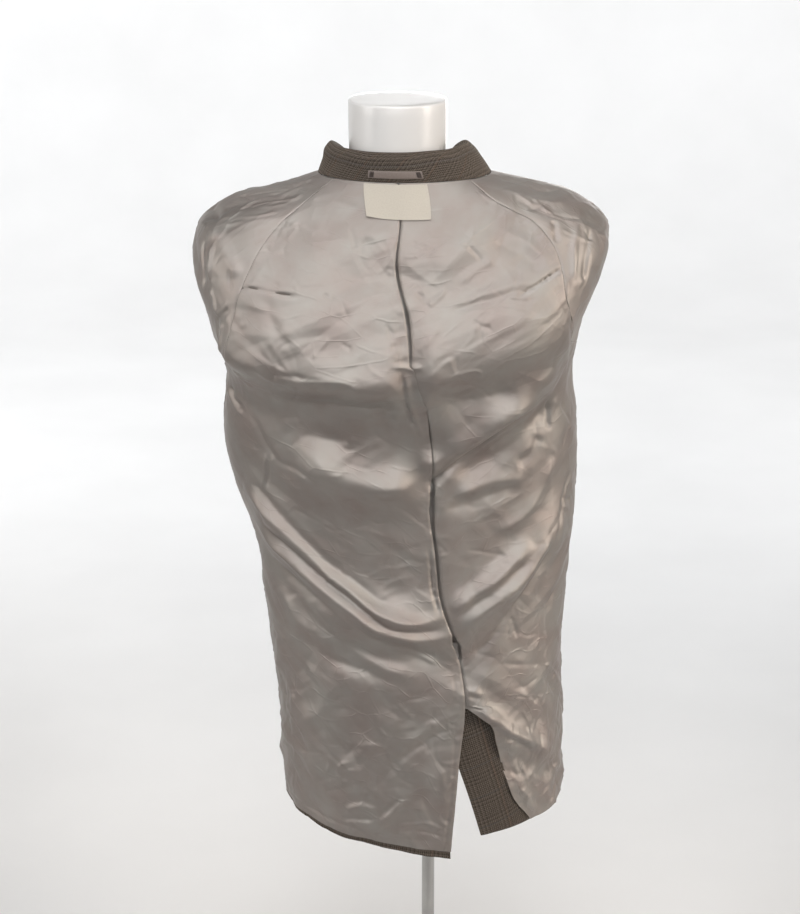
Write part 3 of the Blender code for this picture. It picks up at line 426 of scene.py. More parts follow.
    Crease("front fold left 5", 2, 7, ((-98, 700), (-117, 760), (-136, 850))),
    Crease("front fold right 1", 3, 8, ((104, 282), (115, 352), (131, 402))),
    Crease("front fold right 2", -2.4, 7, ((107, 296), (120, 380), (138, 441))),
    Crease("front fold right 3", 2, 6, ((141, 230), (137, 318), (143, 372))),
    Crease("front fold right 4", 1.8, 6, ((99, 560), (116, 640), (140, 668))),
    Crease("front fold right 5", -1.8, 6, ((103, 700), (122, 748), (145, 760))),
    Crease("side fold left", 2.4, 7, ((-88, 470), (-97, 560), (-95, 690))),
    Crease("side fold right", -2.2, 7, ((87, 480), (95, 590), (92, 720))),
    Crease("cap fold front left", 2.4, 8, ((-98, 70), (-112, 110), (-126, 160))),
    Crease("cap dip front left", -2, 7, ((-104, 62), (-118, 104), (-130, 140))),
    Crease("cap fold front right", 2.2, 8, ((97, 62), (111, 108), (124, 170))),
    Crease("cap dip front right", -2, 7, ((103, 54), (117, 96), (129, 136))),
)

# Crushed creases all over the lining, in millimetres: flat faces that meet at sharp edges. A layer
# has the size of its faces, how much longer they are along their heading, and their heights
Crush = namedtuple("Crush", "name seed size stretch heading height")
CRUSHES = (
    Crush("long folds", 3, 50, 3.0, -36, 2.0),
    Crush("cross folds", 5, 28, 2.8, 38, 1.1),
    Crush("fine folds", 7, 15, 3.0, -24, 0.42),
)
# Corners lie anywhere in their cell but at its rim, and their heights swell and fade between two
# shares in waves along and across the layer, each wave from a random start in radians
CRUSH_SPREAD = (0.02, 0.98)
CRUSH_PATCH = (0.3, 1.0)
CRUSH_WAVES = (0.9, 0.7)
CRUSH_WAVE_STARTS = (0, 6)
# What share of the crushed creases there is at a drop, and on tweed
CRUSH_SHARES = (
    (0, 0.0), (20, 0.1), (70, 0.9), (250, 1.05), (330, 0.6), (600, 0.65), (720, 1.4), (930, 1.5),
)
TWEED_CRUSH = 0.4
# The region that they cover, a height above all of them, and how close two corners are one
CRUSH_TURNS = (-200, 200)
CRUSH_DROPS = (-40, 970)
CRUSH_TOP = 100.0
SAME_PLACE = 1e-6
# The label keeps the cloth round it calm
CALM_TURNS = (-34, 22)
CALM_DROP = 52
CALM_FADE = 20

# Short creases, in millimetres: the least and the most of each size. Each bends a little on its way,
# by an angle in radians. A degree of turn is about so many millimetres round the coat
Crumple = namedtuple("Crumple", "name lengths heights widths")
CRUMPLE_BEND = 0.25
CRUMPLE_BEND_AT = 0.55
MM_PER_TURN = 3.4
# Stars of a few arms are scattered on the lining, between turns and drops. Their share of the
# height goes with the drop
STAR = Crumple("star", (14, 58), (0.2, 0.75), (1.5, 3.0))
STAR_ARMS = (2, 5)
STAR_SHARES = ((220, 1.0), (320, 0.7), (640, 0.75), (740, 1.5))
Scatter = namedtuple("Scatter", "seed count turns drops")
STARS = {
    "back_left": Scatter(76, 90, (-88, 12), (70, 900)),
    "back_right": Scatter(99, 80, (4, 88), (70, 880)),
    "front_left": Scatter(19, 60, (-152, -92), (100, 870)),
    "front_right": Scatter(29, 60, (92, 152), (100, 870)),
    "sleeve_left": Scatter(37, 40, (-132, -48), (10, 240)),
    "sleeve_right": Scatter(41, 40, (48, 132), (10, 240)),
}
# Puckers stand across the seams, slanted by an angle in radians
PUCKER = Crumple("pucker", (8, 17), (0.2, 0.55), (2.0, 3.2))
PUCKER_SPACING = (7, 17)
PUCKER_SLANT = 0.4

# Every crease fades over a share of its length at each end, is uneven along it, and runs out to each
# side in a tail, in widths
CREASE_TAIL = 2.0
CREASE_FADE = 0.2
UNEVEN = 0.22
UNEVEN_WAVE = 11.0
UNEVEN_SHIFT = 2.4

# The collar's waves: their height, how far up they start, and the degrees of turn or the way that
# make one radian of the slow swell, of the main wave and of the ripple
COLLAR_WAVE = 0.7 * MM
COLLAR_WAVE_START = 20.0
COLLAR_SWELL_TURN = 23.0
COLLAR_SWELL_START = 1.1
COLLAR_WAVE_TURN = 9.5
COLLAR_RIPPLE_SHARE = 0.6
COLLAR_RIPPLE_TURN = 6.1
COLLAR_RIPPLE_WAY = 14.0

# The hanging loop, and the thread tacks at its ends, placed in degrees of turn and ways up the collar
LOOP_BOW = 0.9 * MM
LOOP_EDGE_DIP = 0.4 * TRIM_WALL
LOOP_EDGE_ROLL = 1.5 * MM
TACK_STITCHES = 5
TACK_START = 1.2
TACK_SPACING = 0.62
TACK_SLANT = 0.4
TACK_WAYS = (6.0, 13.0)
THREAD_RADIUS = 0.45 * MM
# How high a stitch arches and how deep its ends sink, in thread radii
STITCH_ARCH = 1.6
STITCH_SINK = 0.4
STITCH_STEPS = 6
STITCH_SIDES = 6

# The label's lower edge curls, most of all at its corners, and ripples
LABEL_CURL = 1.6 * MM
LABEL_CORNERS = 0.65
LABEL_RIPPLE = 0.3
LABEL_RIPPLE_WAVE = 5.0

# Edges of meshes, in degrees: where cloth and rigid shells turn sharply, and which triangles of a
# shell join to quads. A shell's rims stay crisp under its subdivision
CLOTH_SHARP_ANGLE = 60
SHELL_SHARP_ANGLE = 40
QUAD_ANGLE = 60
MERGE_REACH = 0.02 * MM
SHELL_LEVELS = 2
RIM_CREASE = 0.75

# Satin: tones in patches, warp floats, and thin lines where it was pressed together. The lines are
# the edges of faces as long as stated and half as wide, they wander, and they show where the patch
# of tone goes from none to most, more of them below a drop
SATIN_TONES = ((0.3, "#908681"), (0.7, "#999590"))
SATIN_PATCH = 55 * MM
WARP_PITCH = 1.3 * MM
WARP_RUN = 45 * MM
WARP_DEPTH = 0.1 * MM
PressedLine = namedtuple("PressedLine", "name heading long depth none most")
PRESSED_LINES = (
    PressedLine("long lines", 52, 75 * MM, 0.4 * MM, 0.48, 0.62),
    PressedLine("short lines", -38, 42 * MM, 0.28 * MM, 0.52, 0.38),
)
PRESSED_LINE_SHARE = 0.06
PRESSED_WANDER = 9 * MM
PRESSED_WANDER_SIZE = 40 * MM
PRESSED_DROPS = (500 * MM, 750 * MM)
PRESSED_HIGH_UP = 0.6

# Tweed: dark and light yarns, fine stripes in bands of single and of double width, an overcheck of
# two faint colours, and loose fibre
TWEED_YARNS = ((0.0, "#15120f"), (1.0, "#625951"))
CHECK_PITCH = 2.8 * MM
BAND_PITCH = 34 * MM
BAND_BROAD = 0.6
OVERCHECK_PITCH = 23 * MM
OVERCHECK_LINE = (0.7 * MM, 1.5 * MM)
OVERCHECK_SHARE = 0.24
OVERCHECK_COLOURS = ("#5f4637", "#474a4d")
FIBRE_SIZE = 1.6 * MM
FIBRE_DEPTH = 0.7 * MM
FIBRE_TONES = (0.4, 1.6)
YARN_WANDER = 1.0 * MM
TWILL_DEPTH = 0.3 * MM

# Ribbed cloth: the depth of its ribs, and the scale at which a wave has one rib to a unit
RIB_DEPTH = 0.25 * MM
RIB_SCALE = 0.32

# Camera, with its focal length in pixels of the photograph
CAMERA_PLACE = (-0.040, -3.0, 1.86)
CAMERA_TILT = 18.15
SENSOR_SIZE = 36.0
FOCAL_PIXELS = 2349
PICTURE_HEIGHT = 914

# Floor and light
FLOOR_RADIUS = 4.0
FLOOR_SIDES = 96
COVE_RADIUS = 1.5
COVE_STEPS = 12
WALL_RISE = 1.2
# Softboxes: place, aim and size in metres, power in watts, spread in degrees
Softbox = namedtuple("Softbox", "name place aim size power spread colour")
SOFTBOXES = (
    Softbox("key_softbox", (-0.1, -1.75, 1.75), (-0.03, 0.0, 0.85), (1.7, 1.0), 4.5, 64, "#ffffff"),
    Softbox("overhead_softbox", (-0.05, -0.5, 2.9), (-0.04, -0.03, 1.2), (2.4, 1.0), 5.4, 55, "#ffffff"),
    Softbox("side_softbox_left", (-1.9, -0.8, 1.4), (-0.1, 0.0, 0.9), (0.9, 2.2), 4.0, 62, "#fffaf4"),
    Softbox("side_softbox_right", (1.9, -0.8, 1.4), (0.1, 0.0, 0.9), (0.9, 2.2), 7.5, 62, "#fff3e6"),
    Softbox("front_softbox", (0.5, 2.6, 1.15), (0.0, 0.1, 0.85), (1.6, 0.8), 4, 42, "#ffffff"),
    Softbox("backdrop_softbox_left", (-2.0, 1.7, 2.7), (-0.5, 5.2, 1.6), (2.0, 1.6), 112, 180, "#fbfdff"),
    Softbox("backdrop_softbox_right", (2.0, 1.7, 2.7), (0.5, 5.2, 1.6), (2.0, 1.6), 85, 180, "#fbfdff"),
)
WORLD_COLOUR = "#f3f4f6"
WORLD_STRENGTH = 0.05


def curve(knots, values, at):
    """Values on a smooth curve through the knots."""
    knots = np.asarray(knots, float)
    values = np.asarray(values, float)
    slopes = np.gradient(values, knots)
    span = np.clip(np.searchsorted(knots, at) - 1, 0, len(knots) - 2)
    step = knots[span + 1] - knots[span]
    share = (at - knots[span]) / step
    rise = share * share * (3 - 2 * share)
    bend = share * (1 - share) * step * ((1 - share) * slopes[span] - share * slopes[span + 1])
    return values[span] + (values[span + 1] - values[span]) * rise + bend


def soft_step(share):
    """From 0 to 1 as the share does, level at both ends."""
    share = np.clip(share, 0, 1)
    return share * share * (3 - 2 * share)


def unit(vectors):
    """The same directions at a length of 1."""
    return vectors / np.linalg.norm(vectors, axis=-1, keepdims=True)


def along(points, axis):
    """Distance over a grid of points from its first row or column."""
    steps = np.linalg.norm(np.diff(points, axis=axis), axis=-1)
    start = np.zeros_like(np.take(steps, [0], axis))
    return np.concatenate([start, np.cumsum(steps, axis=axis)], axis)


def ring_size(column, drop):
    """One column of the coat's sections at a drop, in metres."""
    knots = [ring.drop * MM for ring in COAT_RINGS]
    return MM * curve(knots, [getattr(ring, column) for ring in COAT_RINGS], drop)


def outline(turn, middle, half, back, front, square=2.0):
    """x and y of a section's rounded outline."""
    sine, cosine = np.sin(np.radians(turn)), np.cos(np.radians(turn))
    reach = (np.abs(sine) ** square + np.abs(cosine) ** square) ** (-1 / square)
    depth = np.where(cosine > 0, back, -front)
    return middle + half * reach * sine, depth * reach * cosine


def between_levels(turn, back, side, front):
    """A height that changes smoothly from the back round the side to the front."""
    cosine = np.cos(np.radians(turn))
    return side + (np.where(cosine > 0, back, front) - side) * cosine * cosine


def coat(turn, drop):
    """The coat's outer face without its creases."""
    left, right = ring_size("left", drop), ring_size("right", drop)
    square = ring_size("square", drop) / MM
    back, front = ring_size("back", drop), ring_size("front", drop)
    x, y = outline(turn, (left + right) / 2, (right - left) / 2, back, front, square)
    fall = between_levels(turn, drop, ring_size("side_drop", drop), ring_size("front_drop", drop))
    return np.stack([x, y, NECK_SEAM_Z - fall], -1)


def coat_out(turn, drop):
    """Unit normals of the coat, pointing out of it."""
    turn_step, drop_step = 0.2, 1 * MM
    across = coat(turn + turn_step, drop) - coat(turn - turn_step, drop)
    down = coat(turn, drop + drop_step) - coat(turn, drop - drop_step)
    return unit(np.cross(down, across))


def trace(places, count):
    """Turn and drop at equal steps down a seam line."""
    drop = np.linspace(places[0].drop, places[-1].drop, TRACE_STEPS) * MM
    turn = curve([place.drop * MM for place in places], [place.turn for place in places], drop)
    length = along(coat(turn, drop), 0)
    at = np.linspace(0, length[-1], count + 1)
    return np.interp(at, length, turn), np.interp(at, length, drop)


def straight(turn, top, bottom, count):
    """Turn and drop down a line of one turn."""
    return np.full(count + 1, float(turn)), np.linspace(top, bottom, count + 1)


def joined(first, second):
    """Two lines of turn and drop as one, the second starting where the first ends."""
    return tuple(np.concatenate([a, b[1:]]) for a, b in zip(first, second))


def moved(line, gap):
    """A line of turn and drop moved round the coat by a distance, to the right if it is above 0."""
    turn, drop = line
    half = (ring_size("right", drop) - ring_size("left", drop)) / 2
    return turn + np.degrees(gap / half), drop


def shortened(line, amount):
    """A line of turn and drop that ends higher, with as many steps as before."""
    turn, drop = line
    share = (drop - drop[0]) / (drop[-1] - drop[0])
    shorter = drop[0] + share * (drop[-1] - amount - drop[0])
    return np.interp(shorter, drop, turn), shorter


def seam_shares(count):
    """Shares of a panel's width, closer together beside its two seams."""
    even = np.linspace(-1, 1, count + 1)
    crowded = np.sin(np.pi / 2 * even) ** 3
    return 0.5 + 0.5 * ((1 - SEAM_CROWD) * even + SEAM_CROWD * crowded)


def grid_between(left, right, shares):
    """Turn and drop over a panel, from its left edge to its right edge."""
    turn = left[0][:, None] + (right[0] - left[0])[:, None] * shares
    drop = left[1][:, None] + (right[1] - left[1])[:, None] * shares
    return turn, drop


def crease_line(crease):
    """Points on the coat along a crease."""
    places = np.array(crease.path, float)
    index = np.arange(len(places), dtype=float)
    at = np.linspace(0, len(places) - 1, CREASE_STEPS + 1)
    return coat(curve(index, places[:, 0], at), MM * curve(index, places[:, 1], at))


def to_line(points, line):
    """How far points are from a line, and the share of the line where each is nearest."""
    step = line[1:] - line[:-1]
    from_start = points[:, None] - line[:-1]
    way = np.clip((from_start * step).sum(-1) / (step**2).sum(-1), 0, 1)
    away = np.linalg.norm(from_start - way[..., None] * step, axis=-1)
    nearest = away.argmin(-1)
    index = np.arange(len(points))
    return away[index, nearest], (nearest + way[index, nearest]) / len(step)


def crease_lift(creases, points):
    """How far the creases move points of the coat out. Each is uneven along its length."""
    lift = np.zeros(points.shape[:-1])
    for order, crease in enumerate(creases):
        line = crease_line(crease)
        width = crease.width * MM
        reach = math.sqrt(CREASE_TAIL * (CREASE_TAIL + 2 * crease.round)) * width
        near = np.all((points > line.min(0) - reach) & (points < line.max(0) + reach), -1)
        if not near.any():
            continue
        away, way = to_line(points[near], line)
        fade = soft_step(np.minimum(way, 1 - way) / CREASE_FADE)
        uneven = 1 + UNEVEN * np.sin(UNEVEN_WAVE * way + UNEVEN_SHIFT * order)
        rounded = np.hypot(away / width, crease.round) - crease.round
        profile = (1 - np.minimum(rounded / CREASE_TAIL, 1)) ** 2
        lift[near] += crease.height * MM * fade * uneven * profile
    return lift


def by_drop(shares, drop):
    """A share at a drop, from pairs of millimetres of drop and share."""
    return np.interp(drop / MM, *zip(*shares))


def on_crush(layer, turn, drop):
    """Places on the cloth, measured in faces of a crush layer along and across its heading."""
    angle = math.radians(layer.heading)
    x, y = turn * MM_PER_TURN, drop / MM
    long, short = layer.size * math.sqrt(layer.stretch), layer.size / math.sqrt(layer.stretch)
    along_heading = (x * math.cos(angle) + y * math.sin(angle)) / long
    across_heading = (y * math.cos(angle) - x * math.sin(angle)) / short
    return np.stack([along_heading, across_heading], -1)


def crush_surface(layer):
    """The flat faces of a crush layer: random heights at random places, joined by triangles. The
    heights come and go over the cloth."""
    rng = np.random.default_rng(layer.seed)
    turns, drops = np.meshgrid(CRUSH_TURNS, np.array(CRUSH_DROPS) * MM)
    corners = on_crush(layer, turns, drops).reshape(-1, 2)
    low, high = np.floor(corners.min(0)).astype(int), np.ceil(corners.max(0)).astype(int)
    columns, rows = np.meshgrid(np.arange(low[0], high[0]), np.arange(low[1], high[1]))
    cells = np.stack([columns, rows], -1).reshape(-1, 2)
    places = cells + rng.uniform(*CRUSH_SPREAD, cells.shape)
    waves = [
        np.sin(rate * places[:, axis] + rng.uniform(*CRUSH_WAVE_STARTS))
        for axis, rate in enumerate(CRUSH_WAVES)
    ]
    patch = CRUSH_PATCH[0] + (CRUSH_PATCH[1] - CRUSH_PATCH[0]) * (0.5 + 0.5 * waves[0] * waves[1])
    heights = rng.normal(0, layer.height, len(places)) * patch
    flat = [Vector(place) for place in places]
    spots, _, faces, sources, _, _ = delaunay_2d_cdt(flat, [], [], 0, SAME_PLACE)
    points = [(*spot, heights[source[0]]) for spot, source in zip(spots, sources)]
    return BVHTree.FromPolygons(points, faces)


def crush_lift(turn, drop):
    """How far the crushed creases move points of the coat out. The cloth is calm by the label."""
    aside = np.maximum(CALM_TURNS[0] - turn, turn - CALM_TURNS[1]) * MM_PER_TURN
    away = np.maximum(aside, drop / MM - CALM_DROP)
    share = soft_step(away / CALM_FADE) * by_drop(CRUSH_SHARES, drop)
    down = Vector((0, 0, -1))
    lift = np.zeros(turn.size)
    for layer, surface in CRUSH_SURFACES:
        places = on_crush(layer, turn, drop).reshape(-1, 2)
        tops = [(*place, CRUSH_TOP) for place in places.tolist()]
        lift += [CRUSH_TOP - surface.ray_cast(top, down)[3] for top in tops]
    return MM * share * lift.reshape(turn.shape)


def short_crease(rng, kind, turn, drop, heading):
    """A slightly bent crease from one place on the coat."""
    length = rng.uniform(*kind.lengths)
    bend = rng.normal(0, CRUMPLE_BEND)
    places = []
    for share, angle in ((0.0, heading), (CRUMPLE_BEND_AT, heading), (1.0, heading + bend)):
        reach = share * length
        new_turn = turn + reach * math.cos(angle) / MM_PER_TURN
        places.append((new_turn, drop / MM + reach * math.sin(angle)))
    height = rng.choice((-1, 1)) * rng.uniform(*kind.heights)
    return Crease(kind.name, height, rng.uniform(*kind.widths), tuple(places))


def stars(piece):
    """Scattered small stars of creases, as in satin that has been pressed together."""
    scatter = STARS[piece]
    rng = np.random.default_rng(scatter.seed)
    found = []
    for _ in range(scatter.count):
        turn, drop = rng.uniform(*scatter.turns), rng.uniform(*scatter.drops) * MM
        share = by_drop(STAR_SHARES, drop)
        for _ in range(rng.integers(*STAR_ARMS, endpoint=True)):
            arm = short_crease(rng, STAR, turn, drop, rng.uniform(0, 2 * math.pi))
            found.append(arm._replace(height=share * arm.height))
    return found


def puckers(line, side, seed):
    """Short creases across a seam, on one side of it: 1 to its right, -1 to its left."""
    rng = np.random.default_rng(seed)
    turn, drop = line
    length = along(coat(turn, drop), 0)
    place = rng.uniform(*PUCKER_SPACING) * MM
    found = []
    while place < length[-1]:
        heading = rng.normal(0, PUCKER_SLANT) + (0 if side > 0 else math.pi)
        start = np.interp(place, length, turn), np.interp(place, length, drop)
        found.append(short_crease(rng, PUCKER, *start, heading))
        place += rng.uniform(*PUCKER_SPACING) * MM
    return found


def rolled(distance, dip, reach):
    """How far an edge turns in, at a distance from it."""
    return -dip * (1 - soft_step(distance / reach))


def lowest_near(height, reach):
    """The lowest height within a few steps of each point of a grid."""
    for axis in (0, 1):
        margins = [(0, 0), (0, 0)]
        margins[axis] = (reach, reach)
        padded = np.pad(height, margins, mode="edge")
        count = height.shape[axis]
        shifts = [np.take(padded, range(start, start + count), axis) for start in range(2 * reach + 1)]
        height = np.min(shifts, axis=0)
    return height


def quads(number):
    """Corner numbers of a grid's faces, facing outwards."""
    corners = number[:-1, :-1], number[1:, :-1], number[1:, 1:], number[:-1, 1:]
    return np.stack(corners, -1).reshape(-1, 4)


def border(number):
    """Point numbers once round a grid's edge, in the order of its faces."""
    return np.concatenate([number[:-1, 0], number[-1, :-1], number[:0:-1, -1], number[0, :0:-1]])


def add_piece(name, points, faces, finishes, finish_of_face=None):
    """A new object of the scene that rides on the object's one body."""
    mesh = bpy.data.meshes.new(name)
    mesh.from_pydata(points.reshape(-1, 3).tolist(), [], faces)
    for finish in finishes:
        mesh.materials.append(finish)
    if finish_of_face is not None:
        mesh.polygons.foreach_set("material_index", finish_of_face)
    mesh.shade_smooth()
    mesh.set_sharp_from_angle(angle=math.radians(CLOTH_SHARP_ANGLE))
    piece = bpy.data.objects.new(name, mesh)
    bpy.context.scene.collection.objects.link(piece)
    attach(piece, "root")
    return piece


def add_cloth(
    node, face, inside, finishes, slot, step=1, held=None, rests_on=("dress_form",), with_pieces=()
):
    """A cloth piece that stands for a node: a fine outer face, an inside with every step-th point,
    and the rim between them. Its UV map is in metres across and down the cloth. held is not used."""
    number = np.arange(face[..., 0].size).reshape(face.shape[:2])
    inner = inside[::step, ::step]
    inner_number = number.size + np.arange(inner[..., 0].size).reshape(inner.shape[:2])
    outer_loop, inner_loop = border(number), border(inner_number)
    rim = []
    for k in range(len(inner_loop)):
        edge = [outer_loop[(k * step + s) % len(outer_loop)] for s in range(step, -1, -1)]
        rim.append([*edge, inner_loop[k], inner_loop[(k + 1) % len(inner_loop)]])
    outer_faces, inner_faces = quads(number), quads(inner_number)[:, ::-1]
    faces = outer_faces.tolist() + inner_faces.tolist() + rim
    inside_finish = len(finishes) - 1
    finish_of_face = [0] * len(outer_faces) + [inside_finish] * (len(inner_faces) + len(rim))
    points = np.concatenate([face.reshape(-1, 3), inner.reshape(-1, 3)])
    piece = add_piece(f"{node}_cloth", points, faces, finishes, finish_of_face)

    across, down = along(face, 1), along(face, 0)
    flat = np.stack([across, down], -1)
    places = np.concatenate([flat.reshape(-1, 2), flat[::step, ::step].reshape(-1, 2)])
    corner = np.empty(len(piece.data.loops), int)
    piece.data.loops.foreach_get("vertex_index", corner)
    cloth_map = piece.data.uv_layers.new(name="cloth")
    cloth_map.data.foreach_set("uv", places[corner].ravel())

    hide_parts(node)
    return piece


def add_panel(
    node, left, right, shares, creases, finishes, slot, lift=None, crush=1.0, wall=LINED_WALL, **sheet
):
    """A piece of the coat between two edges. lift gives heights for its turn, drop, and distances
    in metres from the left and right edges, and crush is how much of the crushed creases it has.
    sheet is not used."""
    turn, drop = grid_between(left, right, shares)
    base, out = coat(turn, drop), coat_out(turn, drop)
    from_left = along(base, 1)
    from_right = from_left[:, -1:] - from_left
    height = crease_lift(creases, base)
    if crush:
        height = height + crush * crush_lift(turn, drop)
    if lift:
        height = height + lift(turn, drop, from_left, from_right)
    face = base + height[..., None] * out
    inside = base + (lowest_near(height, INSIDE_STEP) - wall)[..., None] * out
    return add_cloth(node, face, inside, finishes, slot, step=INSIDE_STEP, **sheet)


def side_line(side, top, half_gap_sign, count):
    """The side seam from the armhole to the hem, half a seam gap to one side."""
    half_gap = half_gap_sign * SEAM_GAP / 2
    depth = np.mean([ring.front * MM for ring in COAT_RINGS])
    return straight(side * 90 + math.degrees(half_gap / depth), top, SIDE_HEM_DROP, count)


def outer_edge(raglan, side, half_gap_sign, steps):
    """A panel's raglan seam and, below the armhole, its side seam."""
    seam = trace(raglan, steps.raglan)
    return joined(seam, side_line(side, raglan[-1].drop * MM, half_gap_sign, steps.side))


def pleat_size(column, drop):
    """One column of the pleat's sizes at a drop, in metres."""
    knots = [pleat.drop * MM for pleat in PLEATS]
    return MM * np.interp(drop, knots, [getattr(pleat, column) for pleat in PLEATS])


def back_edges(steps):
    """The centre edges of the left back and of the right back."""
    rows = steps.raglan + steps.side
    left_back = trace(CENTRE_BACK, rows)
    left_back = moved(left_back, -pleat_size("open", left_back[1]))
    sewn = [place for place in CENTRE_BACK if place.drop * MM < VENT_TOP_DROP]
    sewn_line = moved(trace(sewn, rows - VENT_STEPS - 1), -PLEAT_LAP)
    lining_line = trace(VENT_LINING_EDGE, VENT_STEPS)
    right_back = tuple(np.concatenate(pair) for pair in zip(sewn_line, lining_line))
    return left_back, right_back


def left_back_lift(turn, drop, from_left, from_right):
    """The left back turns in at its outer seam, and further in at its folded centre edge."""
    return rolled(from_left, SEAM_DIP, SEAM_ROLL) + rolled(from_right, PLEAT_DIP, PLEAT_ROLL)


def right_back_lift(turn, drop, from_left, from_right):
    """The right back dips towards its centre edge, under the left back, and turns in at its seam."""
    deep = np.where(drop < VENT_TOP_DROP, PLEAT_LAP, 0) + pleat_size("flat", drop)
    tuck = -pleat_size("depth", drop) * (1 - soft_step((from_left - deep) / pleat_size("rise", drop)))
    return tuck + rolled(from_right, SEAM_DIP, SEAM_ROLL)


def seam_lift(turn, drop, from_left, from_right):
    """A panel that turns in at the seams on both of its sides."""
    return rolled(from_left, SEAM_DIP, SEAM_ROLL) + rolled(from_right, SEAM_DIP, SEAM_ROLL)


def vent_lift(turn, drop, from_left, from_right):
    """The vent facing lies deeper than the lining edge that is sewn to it."""
    return np.full(turn.shape, -VENT_DEPTH) + rolled(from_left, SEAM_DIP, SEAM_ROLL)


def lap_lift(turn, drop, from_left, from_right):
    """The right facing rises over the left one where they lap."""
    return FRONT_LAP_LIFT * soft_step((turn - (180 - FACING_TURN)) / (FACING_TURN - FRONT_LAP_TURN))


def add_backs(satin, tweed):
    """Both back linings, the tweed edge at the left hem and the tweed facing in the vent."""
    left_centre, right_centre = back_edges(BACK_STEPS)
    left_side = outer_edge(RAGLAN_BACK_LEFT, -1, 1, BACK_STEPS)
    right_side = outer_edge(RAGLAN_BACK_RIGHT, 1, -1, BACK_STEPS)
    strip_edges = []
    for line, strip in zip((left_side, left_centre), HEM_STRIPS):
        end_turn, end_drop = line[0][-1], line[1][-1]
        strip_edges.append(straight(end_turn, end_drop - strip, end_drop, HEM_STRIP_STEPS))
    left_side = shortened(left_side, HEM_STRIPS[0] + SEAM_GAP)
    left_centre = shortened(left_centre, HEM_STRIPS[1] + SEAM_GAP)
    shares = seam_shares(BACK_STEPS.across)
    vent_edge = trace(VENT_LINING_EDGE, VENT_STEPS)
    left_creases = [
        *CREASES, *stars("back_left"),
        *puckers(left_side, 1, seed=5), *puckers(left_centre, -1, seed=7),
    ]
    right_creases = [
        *CREASES, *stars("back_right"),
        *puckers(right_side, -1, seed=13), *puckers(vent_edge, 1, seed=17),
    ]
    lined = [satin, tweed]
    hem = add_panel("back_hem_left", *strip_edges, shares, left_creases, [tweed], "checked_tweed",
                    wall=TWEED_WALL)
    add_panel("back_left", left_side, left_centre, shares, left_creases, lined, "lining_satin",
              lift=left_back_lift, held="draped", with_pieces=[hem])
    add_panel("back_right", right_centre, right_side, shares, right_creases, lined, "lining_satin",
              lift=right_back_lift, held="draped")
    free = trace(VENT_FACING_EDGE, VENT_STEPS)
    sewn = moved(vent_edge, VENT_SEAM)
    facing_shares = np.linspace(0, 1, VENT_FACING_ACROSS + 1)
    add_panel("vent_facing", free, sewn, facing_shares, [], [tweed], "checked_tweed",
              lift=vent_lift, crush=TWEED_CRUSH, wall=TWEED_WALL, held="hung", rests_on=["back_right"])


def front_line(turn, steps):
    """A front edge or facing seam, from the neck to the hem."""
    return straight(turn, 0.0, FRONT_HEM_DROP, steps.raglan + steps.side)


def add_fronts(satin, tweed):
    """Each front's lining, and the tweed facing along its front edge."""
    seam_turn = math.degrees(SEAM_GAP / (COAT_RINGS[0].front * MM))
    facing = 180 - FACING_TURN
    past = 180 + FRONT_LAP_TURN
    left_side = outer_edge(RAGLAN_FRONT_LEFT, -1, -1, FRONT_STEPS)
    right_side = outer_edge(RAGLAN_FRONT_RIGHT, 1, 1, FRONT_STEPS)
    left_seam = front_line(-facing + seam_turn, FRONT_STEPS)
    right_seam = front_line(facing - seam_turn, FRONT_STEPS)
    shares = seam_shares(FRONT_STEPS.across)
    left_creases = [*CREASES, *stars("front_left"), *puckers(left_side, -1, seed=23)]
    right_creases = [*CREASES, *stars("front_right"), *puckers(right_side, 1, seed=31)]
    lined = [satin, tweed]
    add_panel("front_left", left_seam, left_side, shares, left_creases, lined, "lining_satin",
              lift=seam_lift, held="draped")
    add_panel("front_right", right_side, right_seam, shares, right_creases, lined, "lining_satin",
              lift=seam_lift, held="draped")
    facing_shares = np.linspace(0, 1, FACING_STEPS.across + 1)
    left_free, left_inner = front_line(-past, FACING_STEPS), front_line(-facing, FACING_STEPS)
    right_inner, right_free = front_line(facing, FACING_STEPS), front_line(past, FACING_STEPS)
    add_panel("facing_left", left_free, left_inner, facing_shares, CREASES, [tweed], "checked_tweed",
              crush=TWEED_CRUSH, wall=TWEED_WALL, held="hung", rests_on=["front_left"])
    add_panel("facing_right", right_inner, right_free, facing_shares, CREASES, [tweed], "checked_tweed",
              lift=lap_lift, crush=TWEED_CRUSH, wall=TWEED_WALL, held="hung", rests_on=["front_right"])


def sleeve_cap(raglan, side, facing):
    """Turn and drop over half a sleeve head, rows from the seam to the mouth and columns from the
    shoulder line to the underarm. facing is 1 behind, -1 in front."""
    seam = moved(trace(raglan, SLEEVE_SEAM_STEPS), side * facing * SEAM_GAP)
    neck_turn = np.linspace(side * 90, seam[0][0], SLEEVE_NECK_STEPS + 1)
    root = joined((neck_turn, np.linspace(0, seam[1][0], SLEEVE_NECK_STEPS + 1)), seam)
    share = np.linspace(0, 1, len(root[0]))
    bottom = raglan[-1].drop * MM - MOUTH_BOTTOM_RISE
    mouth_turn = side * (90 - facing * MOUTH_HALF_TURN * np.sin(np.pi * share))
    mouth_drop = MOUTH_TOP_DROP + (bottom - MOUTH_TOP_DROP) * (1 - np.cos(np.pi * share)) / 2
    way = np.linspace(0, 1, SLEEVE_CAP_STEPS + 1)[:, None]
    return root[0] + (mouth_turn - root[0]) * way, root[1] + (mouth_drop - root[1]) * way


